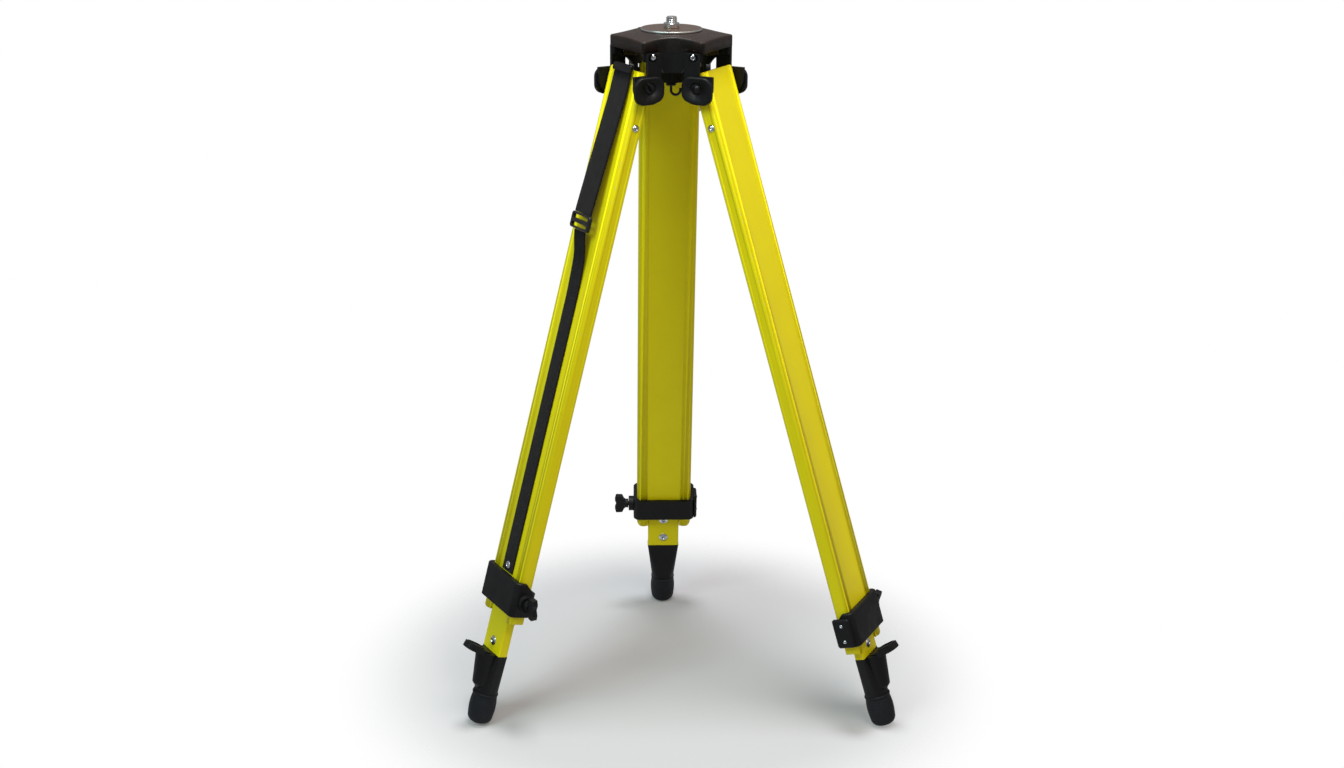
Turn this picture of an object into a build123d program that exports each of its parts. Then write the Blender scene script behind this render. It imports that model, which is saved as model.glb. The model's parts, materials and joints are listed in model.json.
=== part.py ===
"""Surveying tripod: lobed head with a centring instrument screw and three telescopic legs.

Frame: millimetres, origin at the middle of the instrument seat, +Z up, the back leg along +Y.
Each leg has its own frame with its origin on the hinge axis: local X runs across the leg,
local Y points outwards and local Z runs down the leg.
"""
import os
from dataclasses import dataclass
from math import cos, hypot, radians, sin, tan

from build123d import *

os.makedirs("parts", exist_ok=True)


@dataclass(frozen=True)
class LegPlace:
    """Where one leg stands at rest: degrees round the head, degrees off the vertical, length to its end."""

    name: str
    azimuth: float
    splay: float
    upper_length: float
    wing_turn: float


# ---------------------------------------------------------------- driving sizes
stand_height = 990.0         # instrument seat above the floor
leg_places = [
    LegPlace("back", 90.0, 10.7, 782.0, 0.0),
    LegPlace("left", 210.0, 15.7, 786.0, 12.0),
    LegPlace("right", 330.0, 17.9, 838.0, 30.0),
]

# hinges
hinge_radius = 68.0          # hinge axis from the head's middle
hinge_drop = 70.0            # hinge axis below the seat
hinge_bolt_radius = 5.0

# leg head
leg_head_reach = 75.0        # insert reaches this far below the hinge axis
head_screw_along = 57.0
head_screw_radius = 3.0
head_screw_dome = 5.3

# upper leg profile
leg_width = 87.0
leg_depth = 22.0
lobe_width = 17.0
lobe_corner = 5.5
panel_recess = 1.5           # panel face below the lobe faces
profile_wall = 2.0
profile_top = 18.0           # profile starts this far above the hinge axis
lobe_plug = 20.0             # solid end of each lobe
lobe_end_radius = 10.0
inner_notch = 50.5           # panel cut back from the lower end, inner face
outer_notch = 12.0           # the same, outer face

# lower leg
lower_wall = 2.0
lower_length = 640.0
guide_height = 26.0
guide_plug = 18.0
guide_proud = 0.15           # guide stands this much proud of the tube, each side

# clamp collar, measured back from the upper leg's end
collar_bottom = 16.0
collar_height = 51.0
band_height = 36.0           # lower inner side of the collar
collar_side = 5.5
collar_outer = 8.0
collar_inner = 6.0
clamp_axis = 39.0
clamp_boss_radius = 12.0
clamp_boss_height = 8.0
clamp_screw_radius = 4.0
wing_thickness = 8.5
block_height = 44.0
block_depth = 27.0
block_reach = 4.5

pad_radius = 7.0
pad_thickness = 3.0
block_screw_pitch = 24.0
block_screw_radius = 2.0
block_screw_dome = 2.7

# foot
foot_length = 112.0          # shoe top to the end of the boot
boot_length = 48.0
boot_radius = 18.5
boot_belly_radius = 20.0
boot_rim_radius = 18.0
boot_corner = 11.0
pedal_length = 48.0
pedal_width = 26.0
pedal_thickness = 8.0
pedal_rise = 20.0            # degrees that the pedal tips up from square to the leg

boot_plug_radius = 14.0
boot_plug_length = 32.0
point_radius = 6.0
point_seat = 24.0            # the point's length inside the shoe
funnel_radius = 18.5
funnel_taper = 6.0           # degrees
funnel_step = 14.0           # the funnel's straight side ends this far above the boot
funnel_out = 11.0             # middle of the half-round funnel from the leg's middle
tongue_length = 70.0
tang_screw_low = 16.0        # above the shoe's top
tang_screw_high = 50.0
tang_screw_radius = 4.0
tang_screw_dome = 7.3
tang_dome_height = 3.0

# head
lobe_reach = 73.5
lobe_half_width = 43.5
waist_reach = 57.0           # middle of a concave side from the head's middle
shelf_half = 37.0            # straight stretch of a side starts here
plate_thickness = 21.3
plate_slope_start = 46.0
plate_slope_drop = 4.4       # fall of the top face from there to a lobe's end
plate_opening = 26.0
rim_round = 2.5
plate_corner_round = 6.5
boss_drop = 12.0             # screw bosses reach this far below the plate
skirt_bottom = 53.0
skirt_wall = 6.0
ear_thickness = 6.0
ear_radius = 21.0
cap_thickness = 6.8
skirt_screw_side = 27.0
skirt_screw_below = 6.0       # below the plate's underside

skirt_screw_radius = 3.0
skirt_screw_dome = 5.3
skirt_screw_seat = 68.5      # screw heads' seats, from the head's middle
boss_reach = 47.0            # middle of the screw bosses under the plate
skirt_half = 40.0            # half the skirt's straight width
skirt_front = 72.0
ear_block_inner = 38.0
ear_block_near = 47.0
ear_block_far = 68.5
ear_near = 47.0
ear_far = 89.0
ear_top = 54.0               # top edge of the lugs below the seat
leg_sweep_radius = 34.0      # room round a hinge for the leg head to turn
hinge_head_radius = 7.6
hinge_head_height = 2.6
cap_pocket_radius = 8.4

# instrument screw and its centring
arm_azimuth = 30.0
arm_boss_radius = 9.0
arm_bolt_radius = 4.0
arm_bolt_head = 7.0
arm_bolt_head_height = 3.0
washer_radius = 14.5
washer_thickness = 2.5
knob_below = 5.0             # knob's top below the arm's underside
knob_flutes = 12
hook_wire = 1.8
hook_bend = 6.5
seat_radius = 42.5
seat_thickness = 3.0
thread_radius = 7.94         # 5/8 inch, 11 threads an inch
thread_length = 8.5
screw_collar_radius = 11.0
screw_collar_height = 6.7
screw_shaft_radius = 6.0
sleeve_radius = 9.9
arm_pivot_reach = 36.0
arm_thickness = 5.0
arm_below = 2.4              # top face of the arm below the plate's underside
arm_half_width = 15.0
centring_travel = 9.0
knob_radius = 24.0
knob_height = 36.0

# carrying strap on the left leg
strap_wide = 44.0
strap_wide_thickness = 3.6
strap_narrow = 30.0
strap_narrow_thickness = 2.4
strap_buckle_along = 200.0
strap_buckle_height = 23.0
strap_end = 717.0
strap_lift = 0.6
strap_start_out = leg_depth / 2 + strap_lift
strap_buckle_out = strap_start_out + 10.4
anchor_along = -18.0
strap_rivet_along = 708.0
rivet_radius = 3.0
rivet_dome = 6.0

# clearances
running_gap = 0.05           # shaft in its bore
sliding_gap = 0.3            # moving faces that pass each other
seat_gap = 0.1               # fixed piece in its seat

# ---------------------------------------------------------------- derived sizes
ear_inner = leg_width / 2 + 1.5
cap_inner = ear_inner + ear_thickness + seat_gap
cap_floor = cap_inner + cap_thickness - 4.0
lobe_azimuths = [place.azimuth for place in leg_places]
panel_width = leg_width - 2 * lobe_width
panel_depth = leg_depth - 2 * panel_recess
channel_depth = panel_depth - 2 * profile_wall
lower_width = panel_width - 3.0
channel_width = lower_width + 2 * sliding_gap
lower_depth = channel_depth - 2 * sliding_gap
plate_top = seat_thickness + sliding_gap
plate_bottom = plate_top + plate_thickness
skirt_screw_drop = plate_bottom + skirt_screw_below
arm_drop = plate_bottom + arm_below
knob_top = arm_drop + arm_thickness + knob_below
seat_hole = screw_collar_radius + sliding_gap
lobe_middle = (leg_width - lobe_width) / 2
saved_nodes = []


def save(part, name):
    """Label a finished piece and write its STEP file."""
    part.label = name
    export_step(part, f"parts/{name}.step")
    saved_nodes.append(name)


# ---------------------------------------------------------------- frames
def leg_frame(azimuth, splay):
    """Frame on the hinge axis: X across the leg, Y outwards, Z down the leg."""
    turn, tilt = radians(azimuth), radians(splay)
    outward = Vector(cos(turn), sin(turn), 0)
    down = outward * sin(tilt) - Vector(0, 0, cos(tilt))
    pivot = outward * hinge_radius - Vector(0, 0, hinge_drop)
    return Plane(origin=pivot, x_dir=(-sin(turn), cos(turn), 0), z_dir=down)


def side_plane(frame, across, along=0.0):
    """Plane square to the hinge axis: local X outwards, local Y down the leg, normal across it."""
    return Plane(frame.from_local_coords((across, 0, along)), x_dir=frame.y_dir, z_dir=frame.x_dir)


def face_plane(frame, out, along=0.0):
    """Plane along the leg's wide face: local X across, local Y up the leg, normal outwards."""
    return Plane(frame.from_local_coords((0, out, along)), x_dir=frame.x_dir, z_dir=frame.y_dir)


def foot_end(place):
    """Distance from the hinge to the boot's end that puts its rounded inner edge on the floor."""
    tilt = radians(place.splay)
    drop = stand_height - hinge_drop - boot_corner - (boot_radius - boot_corner) * sin(tilt)
    return drop / cos(tilt) + boot_corner


# ---------------------------------------------------------------- leg pieces
def build_upper_leg(frame, end, rivet_along=None):
    """Hollow profile: two rounded lobes, a recessed panel and the channel that the lower leg slides in."""
    length = end + profile_top
    with BuildPart() as upper:
        with BuildSketch(frame.offset(-profile_top)):
            Rectangle(panel_width + lobe_width, panel_depth)
            with Locations((-lobe_middle, 0), (lobe_middle, 0)):
                RectangleRounded(lobe_width, leg_depth, lobe_corner)
        extrude(amount=length)
        with BuildSketch(frame.offset(-profile_top)):
            Rectangle(channel_width, channel_depth)
        extrude(amount=length, mode=Mode.SUBTRACT)
        cavity_width = lobe_middle + lobe_width / 2 - profile_wall * 2 - channel_width / 2
        with BuildSketch(frame.offset(-profile_top)):
            with Locations(*[(side * (channel_width / 2 + profile_wall + cavity_width / 2), 0) for side in (-1, 1)]):
                RectangleRounded(cavity_width, leg_depth - 2 * profile_wall, lobe_corner - profile_wall)
        extrude(amount=length - lobe_plug, mode=Mode.SUBTRACT)
        # notches that bare the lower leg between the lobe ends
        with BuildSketch(face_plane(frame, 0, end)):
            with Locations((0, inner_notch / 2 - 1)):
                Rectangle(channel_width, inner_notch + 2)
        extrude(amount=-leg_depth, mode=Mode.SUBTRACT)
        with BuildSketch(face_plane(frame, 0, end)):
            with Locations((0, outer_notch / 2 - 1)):
                Rectangle(channel_width, outer_notch + 2)
        extrude(amount=leg_depth, mode=Mode.SUBTRACT)
        # rounded outer corners of the lobe ends
        with BuildSketch(face_plane(frame, -leg_depth, end)):
            for side in (-1, 1):
                with Locations((side * (leg_width / 2 - lobe_end_radius / 2 + 1), lobe_end_radius / 2 - 1)):
                    Rectangle(lobe_end_radius + 2, lobe_end_radius + 2)
            for side in (-1, 1):
                with Locations((side * (leg_width / 2 - lobe_end_radius), lobe_end_radius)):
                    Circle(lobe_end_radius, mode=Mode.SUBTRACT)
        extrude(amount=2 * leg_depth, mode=Mode.SUBTRACT)
        with BuildSketch(face_plane(frame, -leg_depth, -profile_top)):
            for side in (-1, 1):
                with Locations((side * (leg_width / 2 - lobe_end_radius / 2 + 1), 1 - lobe_end_radius / 2)):
                    Rectangle(lobe_end_radius + 2, lobe_end_radius + 2)
            for side in (-1, 1):
                with Locations((side * (leg_width / 2 - lobe_end_radius), -lobe_end_radius)):
                    Circle(lobe_end_radius, mode=Mode.SUBTRACT)
        extrude(amount=2 * leg_depth, mode=Mode.SUBTRACT)
        # clearance hole for the hinge bolt and holes for the two leg head screws
        with BuildSketch(side_plane(frame, -leg_width)):
            Circle(hinge_bolt_radius + 0.6)
        extrude(amount=2 * leg_width, mode=Mode.SUBTRACT)
        with BuildSketch(side_plane(frame, -leg_width, head_screw_along)):
            Circle(head_screw_radius + seat_gap)
        extrude(amount=2 * leg_width, mode=Mode.SUBTRACT)
        if rivet_along is not None:
            with BuildSketch(face_plane(frame, 0, rivet_along)):
                Circle(rivet_radius + seat_gap)
            extrude(amount=leg_depth, mode=Mode.SUBTRACT)
    return upper.part


def build_leg_head(frame):
    """Casting that plugs the profile's top and carries the hinge bore."""
    insert_length = leg_head_reach + profile_top
    cavity_width = lobe_middle + lobe_width / 2 - profile_wall * 2 - channel_width / 2
    with BuildPart() as head:
        with BuildSketch(frame.offset(-profile_top)):
            Rectangle(lower_width, lower_depth)
            with Locations(*[(side * (channel_width / 2 + profile_wall + cavity_width / 2), 0) for side in (-1, 1)]):
                RectangleRounded(cavity_width - 2 * seat_gap, leg_depth - 2 * profile_wall - 2 * seat_gap,
                                 lobe_corner - profile_wall)
        extrude(amount=insert_length)
        with BuildSketch(side_plane(frame, -leg_width)):
            Circle(hinge_bolt_radius + running_gap)
        extrude(amount=2 * leg_width, mode=Mode.SUBTRACT)
        for side in (-1, 1):
            with BuildSketch(side_plane(frame, side * leg_width, head_screw_along)):
                Circle(head_screw_radius + seat_gap)
            extrude(amount=-side * (leg_width / 2 + lobe_width - profile_wall), mode=Mode.SUBTRACT)
    return head.part


def build_dome_screw(plane, dome_radius, dome_height, shank_radius, shank_length):
    """Button-head screw on a plane: dome above it, shank below it, hexagon socket in the dome."""
    crown = (dome_radius ** 2 + dome_height ** 2) / (2 * dome_height)
    with BuildPart() as screw:
        with BuildSketch(Plane(plane.origin, x_dir=plane.x_dir, z_dir=-plane.y_dir)):
            with BuildLine():
                Line((0, -shank_length), (shank_radius, -shank_length))
                Line((shank_radius, -shank_length), (shank_radius, 0))
                Line((shank_radius, 0), (dome_radius, 0))
                RadiusArc((dome_radius, 0), (0, dome_height), -crown)
                Line((0, dome_height), (0, -shank_length))
            make_face()
        revolve(axis=Axis(plane.origin, plane.z_dir))
        with BuildSketch(plane.offset(dome_height)):
            RegularPolygon(dome_radius * 0.42, 6)
        extrude(amount=-dome_height * 0.6, mode=Mode.SUBTRACT)
    return screw.part


def build_leg_head_screws(frame):
    """Two dome screws in the narrow sides of the leg."""
    screws = []
    for side in (-1, 1):
        plane = Plane(frame.from_local_coords((side * leg_width / 2, 0, head_screw_along)),
                      x_dir=frame.z_dir, z_dir=frame.x_dir * side)
        screws.append(build_dome_screw(plane, head_screw_dome, 3.2, head_screw_radius, 14.0))
    return Compound(children=screws)


def build_clamp_collar(frame, end):
    """Ring round the upper leg: tall outer side, lower inner band, boss for the wing screw."""
    ring_width = leg_width + 2 * (collar_side + seat_gap)
    ring_depth = leg_depth + collar_outer + collar_inner + 2 * seat_gap
    top = end - collar_bottom - collar_height
    shift = (collar_outer - collar_inner) / 2
    with BuildPart() as collar:
        with BuildSketch(frame.offset(top)):
            with Locations((0, shift)):
                RectangleRounded(ring_width, ring_depth, 9.0)
        extrude(amount=collar_height)
        chamfer(collar.faces().filter_by(Axis(frame.origin, frame.z_dir)).edges(), length=1.2)
        boss_plane = side_plane(frame, ring_width / 2, end - clamp_axis)
        with BuildSketch(boss_plane):
            Circle(clamp_boss_radius)
        extrude(amount=clamp_boss_height)
        with BuildSketch(boss_plane.offset(clamp_boss_height)):
            Circle(clamp_boss_radius - 2.0)
            Circle(clamp_boss_radius - 4.0, mode=Mode.SUBTRACT)
        extrude(amount=-1.0, mode=Mode.SUBTRACT)
        # the inner side is a lower band, with slanted shoulders on both flanks
        low = collar_height - band_height
        with BuildSketch(side_plane(frame, -ring_width, top)):
            with BuildLine():
                Polyline((-leg_depth * 2, -1), (3, -1), (3, 0), (-leg_depth / 2, low), (-leg_depth * 2, low),
                         close=True)
            make_face()
        extrude(amount=2 * ring_width, mode=Mode.SUBTRACT)
        with BuildSketch(frame.offset(top - 1)):
            RectangleRounded(leg_width + 2 * seat_gap, leg_depth + 2 * seat_gap, lobe_corner)
        extrude(amount=collar_height + 2, mode=Mode.SUBTRACT)
        with BuildSketch(side_plane(frame, leg_width / 2, end - clamp_axis)):
            Circle(clamp_screw_radius + running_gap)
        extrude(amount=collar_side * 3, mode=Mode.SUBTRACT)
        with BuildSketch(side_plane(frame, leg_width / 2, end - clamp_axis)):
            Circle(pad_radius + seat_gap)
        extrude(amount=pad_thickness + 2 * sliding_gap, mode=Mode.SUBTRACT)
        for offset in (-block_screw_pitch / 2, block_screw_pitch / 2):
            with BuildSketch(side_plane(frame, -leg_width / 2, end - clamp_axis + offset)):
                Circle(block_screw_radius + seat_gap)
            extrude(amount=-collar_side * 2, mode=Mode.SUBTRACT)
    return collar.part


def build_clamp_block(frame, end):
    """Rounded block on the collar's far side."""
    inner = -(leg_width / 2 + collar_side + 2 * seat_gap)
    with BuildPart() as block:
        with BuildSketch(side_plane(frame, inner, end - clamp_axis)):
            RectangleRounded(block_depth, block_height, 4.0)
        extrude(amount=-block_reach)
        outer_face = block.faces().sort_by(Axis(frame.origin, frame.x_dir))[0]
        chamfer(outer_face.edges(), length=2.0)
        for offset in (-block_screw_pitch / 2, block_screw_pitch / 2):
            with BuildSketch(side_plane(frame, inner, end - clamp_axis + offset)):
                Circle(block_screw_radius + seat_gap)
            extrude(amount=-block_reach, mode=Mode.SUBTRACT)
    return block.part


def build_block_screws(frame, end):
    """Two small dome screws that hold the clamp block."""
    reach = leg_width / 2 + collar_side + 2 * seat_gap + block_reach
    screws = []
    for offset in (-block_screw_pitch / 2, block_screw_pitch / 2):
        plane = Plane(frame.from_local_coords((-reach, 0, end - clamp_axis + offset)),
                      x_dir=frame.z_dir, z_dir=-frame.x_dir)
        screws.append(build_dome_screw(plane, block_screw_dome, 1.4, block_screw_radius, block_reach + 5))
    return Compound(children=screws)


def build_pressure_pad(frame, end):
    """Brass disc between the wing screw's tip and the leg."""
    with BuildPart() as pad:
        with BuildSketch(side_plane(frame, leg_width / 2 + seat_gap, end - clamp_axis)):
            Circle(pad_radius)
        extrude(amount=pad_thickness)
    return pad.part


def build_wing_screw(frame, end, turn):
    """Butterfly screw whose axis runs across the leg."""
    boss_top = leg_width / 2 + collar_side + seat_gap + clamp_boss_height
    tip = leg_width / 2 + seat_gap + pad_thickness + sliding_gap
    hub_start = boss_top + 0.6
    axis_plane = side_plane(frame, 0, end - clamp_axis)
    wing_x = axis_plane.x_dir.rotate(Axis((0, 0, 0), frame.x_dir), turn)
    with BuildPart() as wing:
        with BuildSketch(side_plane(frame, tip, end - clamp_axis)):
            Circle(clamp_screw_radius)
        extrude(amount=hub_start - tip)
        with BuildSketch(side_plane(frame, hub_start, end - clamp_axis)):
            Circle(7.5)
        extrude(amount=8.0, taper=8)
        start = frame.from_local_coords((hub_start + 3.0, 0, end - clamp_axis))
        with BuildSketch(Plane(start, x_dir=frame.x_dir, z_dir=wing_x)):
            with BuildLine():
                Polyline((-1, -4), (4, -8), (7, -15), (17, -15.5), (19, -8), (16, 0), (19, 8), (17, 15.5),
                         (7, 15), (4, 8), (-1, 4), close=True)
            make_face()
            fillet(vertices(), radius=1.8)
        extrude(amount=wing_thickness / 2, both=True)
    return wing.part


# ---------------------------------------------------------------- lower leg and foot
def build_lower_leg(frame, shoe_top):
    """Flat tube that slides in the upper leg, with the bores of the two tang screws."""
    top = shoe_top - lower_length
    with BuildPart() as lower:
        with BuildSketch(frame.offset(top)):
            RectangleRounded(lower_width, lower_depth, 2.0)
            RectangleRounded(lower_width - 2 * lower_wall, lower_depth - 2 * lower_wall, 0.6,
                             mode=Mode.SUBTRACT)
        extrude(amount=lower_length)
        for back_off, reach in ((tang_screw_low, lower_depth), (tang_screw_high, 0)):
            with BuildSketch(face_plane(frame, -lower_depth, shoe_top - back_off)):
                Circle(tang_screw_radius + seat_gap)
            extrude(amount=lower_depth + reach, mode=Mode.SUBTRACT)
    return lower.part


def build_lower_guide(frame, shoe_top):
    """Nylon guide that plugs the lower leg's upper end and keeps it central in the channel."""
    top = shoe_top - lower_length
    with BuildPart() as guide:
        with BuildSketch(frame.offset(top - guide_height)):
            RectangleRounded(lower_width + 2 * guide_proud, lower_depth + 2 * guide_proud, 2.0)
        extrude(amount=guide_height)
        with BuildSketch(frame.offset(top)):
            RectangleRounded(lower_width - 2 * lower_wall - 2 * seat_gap,
                             lower_depth - 2 * lower_wall - 2 * seat_gap, 0.5)
        extrude(amount=guide_plug)
        with BuildSketch(frame.offset(top - guide_height)):
            with GridLocations(lower_width / 3, 0, 3, 1):
                Rectangle(lower_width / 4.5, lower_depth * 0.5)
        extrude(amount=guide_height * 0.6, mode=Mode.SUBTRACT)
    return guide.part


def build_tang_screws(frame, shoe_top):
    """Low screw right through the tube with a dome on each face, high screw on the inner face."""
    half = lower_depth / 2
    low = Plane(frame.from_local_coords((0, half, shoe_top - tang_screw_low)),
                x_dir=frame.x_dir, z_dir=frame.y_dir)
    low_nut = Plane(frame.from_local_coords((0, -half, shoe_top - tang_screw_low)),
                    x_dir=frame.x_dir, z_dir=-frame.y_dir)
    high = Plane(frame.from_local_coords((0, -half, shoe_top - tang_screw_high)),
                 x_dir=frame.x_dir, z_dir=-frame.y_dir)
    return Compound(children=[
        build_dome_screw(low, tang_screw_dome, tang_dome_height, tang_screw_radius, half),
        build_dome_screw(low_nut, tang_screw_dome, tang_dome_height, tang_screw_radius, half - seat_gap),
        build_dome_screw(high, tang_screw_dome, tang_dome_height, tang_screw_radius, half),
    ])


def build_foot_shoe(frame, shoe_top):
    """Moulded shoe: tongue into the lower leg, tapered body, half-round funnel, pedal and boot plug."""
    boot_rim = foot_length - boot_length
    with BuildPart() as shoe:
        with BuildSketch(frame.offset(shoe_top)):
            RectangleRounded(lower_width + 1.0, lower_depth + 1.0, 2.4)
        with BuildSketch(frame.offset(shoe_top + boot_rim)):
            RectangleRounded(2 * boot_rim_radius - 0.6, 2 * boot_rim_radius - 4, 14.0)
        loft()
        with BuildSketch(Plane(frame.from_local_coords((0, funnel_out, shoe_top)), x_dir=frame.x_dir,
                               z_dir=frame.z_dir)):
            Circle(funnel_radius)
        extrude(amount=boot_rim - funnel_step, taper=funnel_taper)
        with BuildSketch(Plane(frame.from_local_coords((0, funnel_out, shoe_top + boot_rim - funnel_step)),
                               x_dir=frame.x_dir, z_dir=frame.z_dir)):
            Circle(funnel_radius - (boot_rim - funnel_step) * tan(radians(funnel_taper)))
        extrude(amount=funnel_step - 3.0, taper=40)
        # pedal: a rounded tongue that tips up a little, with a raised loop on its top
        tip = radians(pedal_rise)
        pedal_x = frame.y_dir * cos(tip) - frame.z_dir * sin(tip)
        pedal_z = -(frame.z_dir * cos(tip) + frame.y_dir * sin(tip))
        root = frame.from_local_coords((0, 8, shoe_top + 9.5))
        pedal_plane = Plane(root, x_dir=pedal_x, z_dir=pedal_z)
        with BuildSketch(pedal_plane):
            with Locations((pedal_length / 2, 0)):
                RectangleRounded(pedal_length, pedal_width, pedal_width / 2 - 0.5)
        extrude(amount=pedal_thickness)
        with BuildSketch(pedal_plane.offset(pedal_thickness)):
            with Locations((pedal_length * 0.64, 0)):
                RectangleRounded(pedal_length * 0.6, pedal_width - 6, pedal_width / 2 - 3.5)
                RectangleRounded(pedal_length * 0.6 - 5, pedal_width - 11, pedal_width / 2 - 6,
                                 mode=Mode.SUBTRACT)
        extrude(amount=1.4)
        # tongue in the lower leg
        with BuildSketch(frame.offset(shoe_top - tongue_length)):
            RectangleRounded(lower_width - 2 * lower_wall - 2 * seat_gap,
                             lower_depth - 2 * lower_wall - 2 * seat_gap, 0.5)
        extrude(amount=tongue_length + 1)
        # plug that the boot is pushed on
        with BuildSketch(frame.offset(shoe_top + boot_rim - 1)):
            Circle(boot_plug_radius)
        extrude(amount=boot_plug_length + 1)
        with BuildSketch(frame.offset(shoe_top + boot_rim - point_seat)):
            Circle(point_radius + running_gap)
        extrude(amount=foot_length, mode=Mode.SUBTRACT)
        for back_off in (tang_screw_low, tang_screw_high):
            with BuildSketch(face_plane(frame, -lower_depth, shoe_top - back_off)):
                Circle(tang_screw_radius + seat_gap)
            extrude(amount=2 * lower_depth, mode=Mode.SUBTRACT)
    return shoe.part


def build_foot_point(frame, shoe_top):
    """Hardened steel point that stands out of the shoe's plug, inside the boot."""
    boot_rim = foot_length - boot_length
    start = shoe_top + boot_rim - point_seat
    with BuildPart() as point:
        with BuildSketch(Plane(frame.origin, x_dir=frame.x_dir, z_dir=frame.y_dir)):
            with BuildLine():
                near, cone, tip = -start, -(shoe_top + foot_length - 18), -(shoe_top + foot_length - 5)
                Polyline((0, near), (point_radius, near), (point_radius, cone), (0.8, tip), (0, tip),
                         close=True)
            make_face()
        revolve(axis=Axis(frame.origin, frame.z_dir))
    return point.part


def build_foot_boot(frame, shoe_top):
    """Removable rubber boot: rim bead, belly and a rounded end."""
    end = shoe_top + foot_length
    rim = end - boot_length
    plug_end = rim + boot_plug_length + sliding_gap
    with BuildPart() as boot:
        with BuildSketch(Plane(frame.origin, x_dir=frame.x_dir, z_dir=frame.y_dir)):
            with BuildLine():
                Line((0, -end), (boot_radius, -end))
                Line((boot_radius, -end), (boot_radius, -(end - 14)))
                Spline((boot_radius, -(end - 14)), (boot_belly_radius, -(end - 28)),
                       (boot_rim_radius, -(rim + 4)), tangents=((0, 1), (-0.15, 1)))
                ThreePointArc((boot_rim_radius, -(rim + 4)), (boot_rim_radius + 1.1, -(rim + 2)),
                              (boot_rim_radius, -rim))
                Line((boot_rim_radius, -rim), (0, -rim))
                Line((0, -rim), (0, -end))
            make_face()
            fillet(vertices().sort_by(Axis.Y)[0:2].sort_by(SortBy.DISTANCE)[-1:], radius=boot_corner)
        revolve(axis=Axis(frame.origin, frame.z_dir))
        with BuildSketch(frame.offset(rim)):
            Circle(boot_plug_radius + seat_gap)
        extrude(amount=plug_end - rim, mode=Mode.SUBTRACT)
        with BuildSketch(frame.offset(plug_end)):
            Circle(point_radius + 0.8)
        extrude(amount=end - 3.5 - plug_end, mode=Mode.SUBTRACT)
    return boot.part


# ---------------------------------------------------------------- head
def side_frame(azimuth):
    """Level frame for one concave side: X outwards through its middle, Y along it, Z up."""
    turn = radians(azimuth)
    return Plane(origin=(0, 0, 0), x_dir=(cos(turn), sin(turn), 0), z_dir=(0, 0, 1))


def side_face(azimuth, reach, drop):
    """Upright plane on a concave side: local X along the side, local Y up, normal outwards."""
    turn = radians(azimuth)
    outward = Vector(cos(turn), sin(turn), 0)
    return Plane(origin=outward * reach - Vector(0, 0, drop), x_dir=(-sin(turn), cos(turn), 0), z_dir=outward)


def lobe_plane(azimuth, across):
    """Upright plane square to a hinge axis: local X outwards from the head's middle, local Y down."""
    turn = radians(azimuth)
    across_dir = Vector(-sin(turn), cos(turn), 0)
    return Plane(origin=across_dir * across, x_dir=(cos(turn), sin(turn), 0), z_dir=across_dir)


def polar(azimuth, outward, across):
    """Point in plan from its distances outwards and across, at an angle round the head."""
    turn = radians(azimuth)
    return (outward * cos(turn) - across * sin(turn), outward * sin(turn) + across * cos(turn))


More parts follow.
